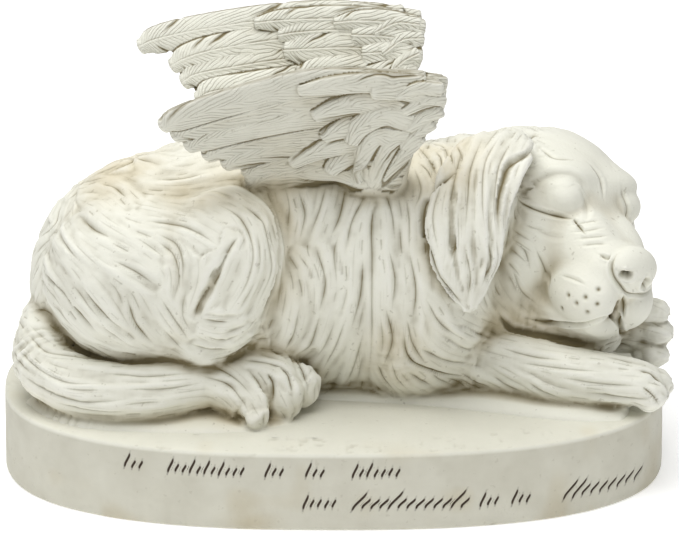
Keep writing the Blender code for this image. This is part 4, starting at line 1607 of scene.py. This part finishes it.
def cast_material(name, bump, lines, painted=False, **values):
    """Aged cast resin, with the finish group's inputs set by name. Each of the lines is a drawing
    group, its two attributes, a gain, a half width, and its shares of the wash and the relief."""
    material = bpy.data.materials.new(name)
    material.use_nodes = True
    tree = material.node_tree

    def kept(attribute):
        node = add_node(tree, "ShaderNodeAttribute", {}, attribute_name=attribute)
        return node.outputs["Fac"]

    own = {label.replace("_", " "): value for label, value in values.items()}
    finish = add_node(tree, "ShaderNodeGroup", own, node_tree=FINISH)
    wash_and_shade, height = kept("wash_and_shade"), finish.outputs["Height"]
    for group, distance, strength, gain, half_width, colour_share, cut in lines:
        mask = add_node(tree, "ShaderNodeGroup", {
            "Distance": kept(distance), "Half width": half_width,
            "Strength": maths(tree, "MULTIPLY", kept(strength), gain),
        }, node_tree=group).outputs["Mask"]
        wash_and_shade = maths(tree, "MULTIPLY_ADD", mask, colour_share, wash_and_shade)
        height = maths(tree, "MULTIPLY_ADD", mask, -cut, height)
    # The wash and stain attributes also hold painted shade
    fill(tree, finish, {"Wash": wash_and_shade, "Stain": kept("stain_and_shade"), "Crest": kept("crest")})
    colour = finish.outputs["Colour"]
    if painted:
        colour = blend(tree, mask, colour, PAINT)
    relief = {"Strength": bump, "Distance": 0.0003, "Height": height}
    fill(tree, tree.nodes["Principled BSDF"], {
        "Base Color": colour, "Roughness": finish.outputs["Roughness"],
        "Normal": add_node(tree, "ShaderNodeBump", relief).outputs["Normal"],
        "Specular IOR Level": 0.35,
    })
    return material


FIGURE = cast_material(
    "aged resin", 0.55,
    lines=[(BARB_LINE, "barb", "barb_share", 1.0, 0.25, 0.45, 1.8),
           (STROKE_LINE, "across", "stroke", 1.0, 0.42, 0.65, 1.4)])
PLAIN = cast_material(
    "aged resin base", 0.35, painted=True, Wash_amount=0.5, Speckle=0.15,
    lines=[(STROKE_LINE, "across", "stroke", 3.0, 0.55, 0.0, 0.5)])
for piece in figure_pieces:
    piece.data.materials.clear()
    piece.data.materials.append(FIGURE)
base.data.materials.append(PLAIN)
print("materials:", FIGURE.name, "and", PLAIN.name)

# %% [markdown]
# All seven pieces stand in for the one solid of the CAD model and ride its only body.

# %% Place the pieces
for piece in [*figure_pieces, base]:
    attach(piece, "root")
    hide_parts("winged_dog_statue")
print("pieces:", [piece.name for piece in [*figure_pieces, base]])

# %% [markdown]
# The photograph is a plain product shot: white floor and walls, a big soft light overhead that
# leaves the leaning outer face of the near wing grey, and a weaker one from the front.

# %% Floor and light
WHITE = (1, 1, 1, 1)


def soft_light(name, at, size, power, aim=(0.0, 0.0, 0.07)):
    data = bpy.data.lights.new(name, "AREA")
    data.shape = "RECTANGLE"
    data.size, data.size_y = size
    data.energy = power
    light = bpy.data.objects.new(name, data)
    light.location = at
    light.rotation_euler = (Vector(aim) - Vector(at)).to_track_quat("-Z", "Y").to_euler()
    bpy.context.scene.collection.objects.link(light)


bm = bmesh.new()
bmesh.ops.create_grid(bm, x_segments=1, y_segments=1, size=3.0)
floor = object_from(bm, "floor")
paper = bpy.data.materials.new("white paper")
paper.use_nodes = True
fill(paper.node_tree, paper.node_tree.nodes["Principled BSDF"], {
    "Base Color": (0.9, 0.9, 0.9, 1), "Roughness": 0.9,
    "Emission Color": WHITE, "Emission Strength": 0.35,
})
floor.data.materials.append(paper)
floor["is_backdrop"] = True

soft_light("top light", (-0.15, -0.14, 1.1), (1.0, 0.8), 11.7)
soft_light("front light", (-0.6, -1.0, 0.7), (0.8, 0.8), 0.3)
world = bpy.data.worlds.new("white room")
world.use_nodes = True
fill(world.node_tree, world.node_tree.nodes["Background"], {"Color": WHITE, "Strength": 0.33})
scene = bpy.context.scene
scene.world = world
scene.view_settings.view_transform = "Standard"

# %% [markdown]
# The camera stands far off with a long lens, a little above the statue, as in the photograph.

# %% Camera
CAMERA_DISTANCE = 3.0
CAMERA_ELEVATION = math.radians(22)
target = Vector((0.0019, 0.0, 0.0717))
lens = bpy.data.cameras.new("camera")
lens.lens = 457.3
lens.sensor_width = 36
camera = bpy.data.objects.new("camera", lens)
back = Vector((0, -math.cos(CAMERA_ELEVATION), math.sin(CAMERA_ELEVATION)))
camera.location = target + back * CAMERA_DISTANCE
camera.rotation_euler = (-back).to_track_quat("-Z", "Y").to_euler()
scene.collection.objects.link(camera)
scene.camera = camera
print("camera at:", [round(v, 3) for v in camera.location])

# %% Sizes and finish
low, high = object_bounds()
{"cad": [list(cad_low), list(cad_high)], "visual": [list(low), list(high)]}
print("visual box, mm:", [round(v * MM, 1) for v in (*low, *high)])
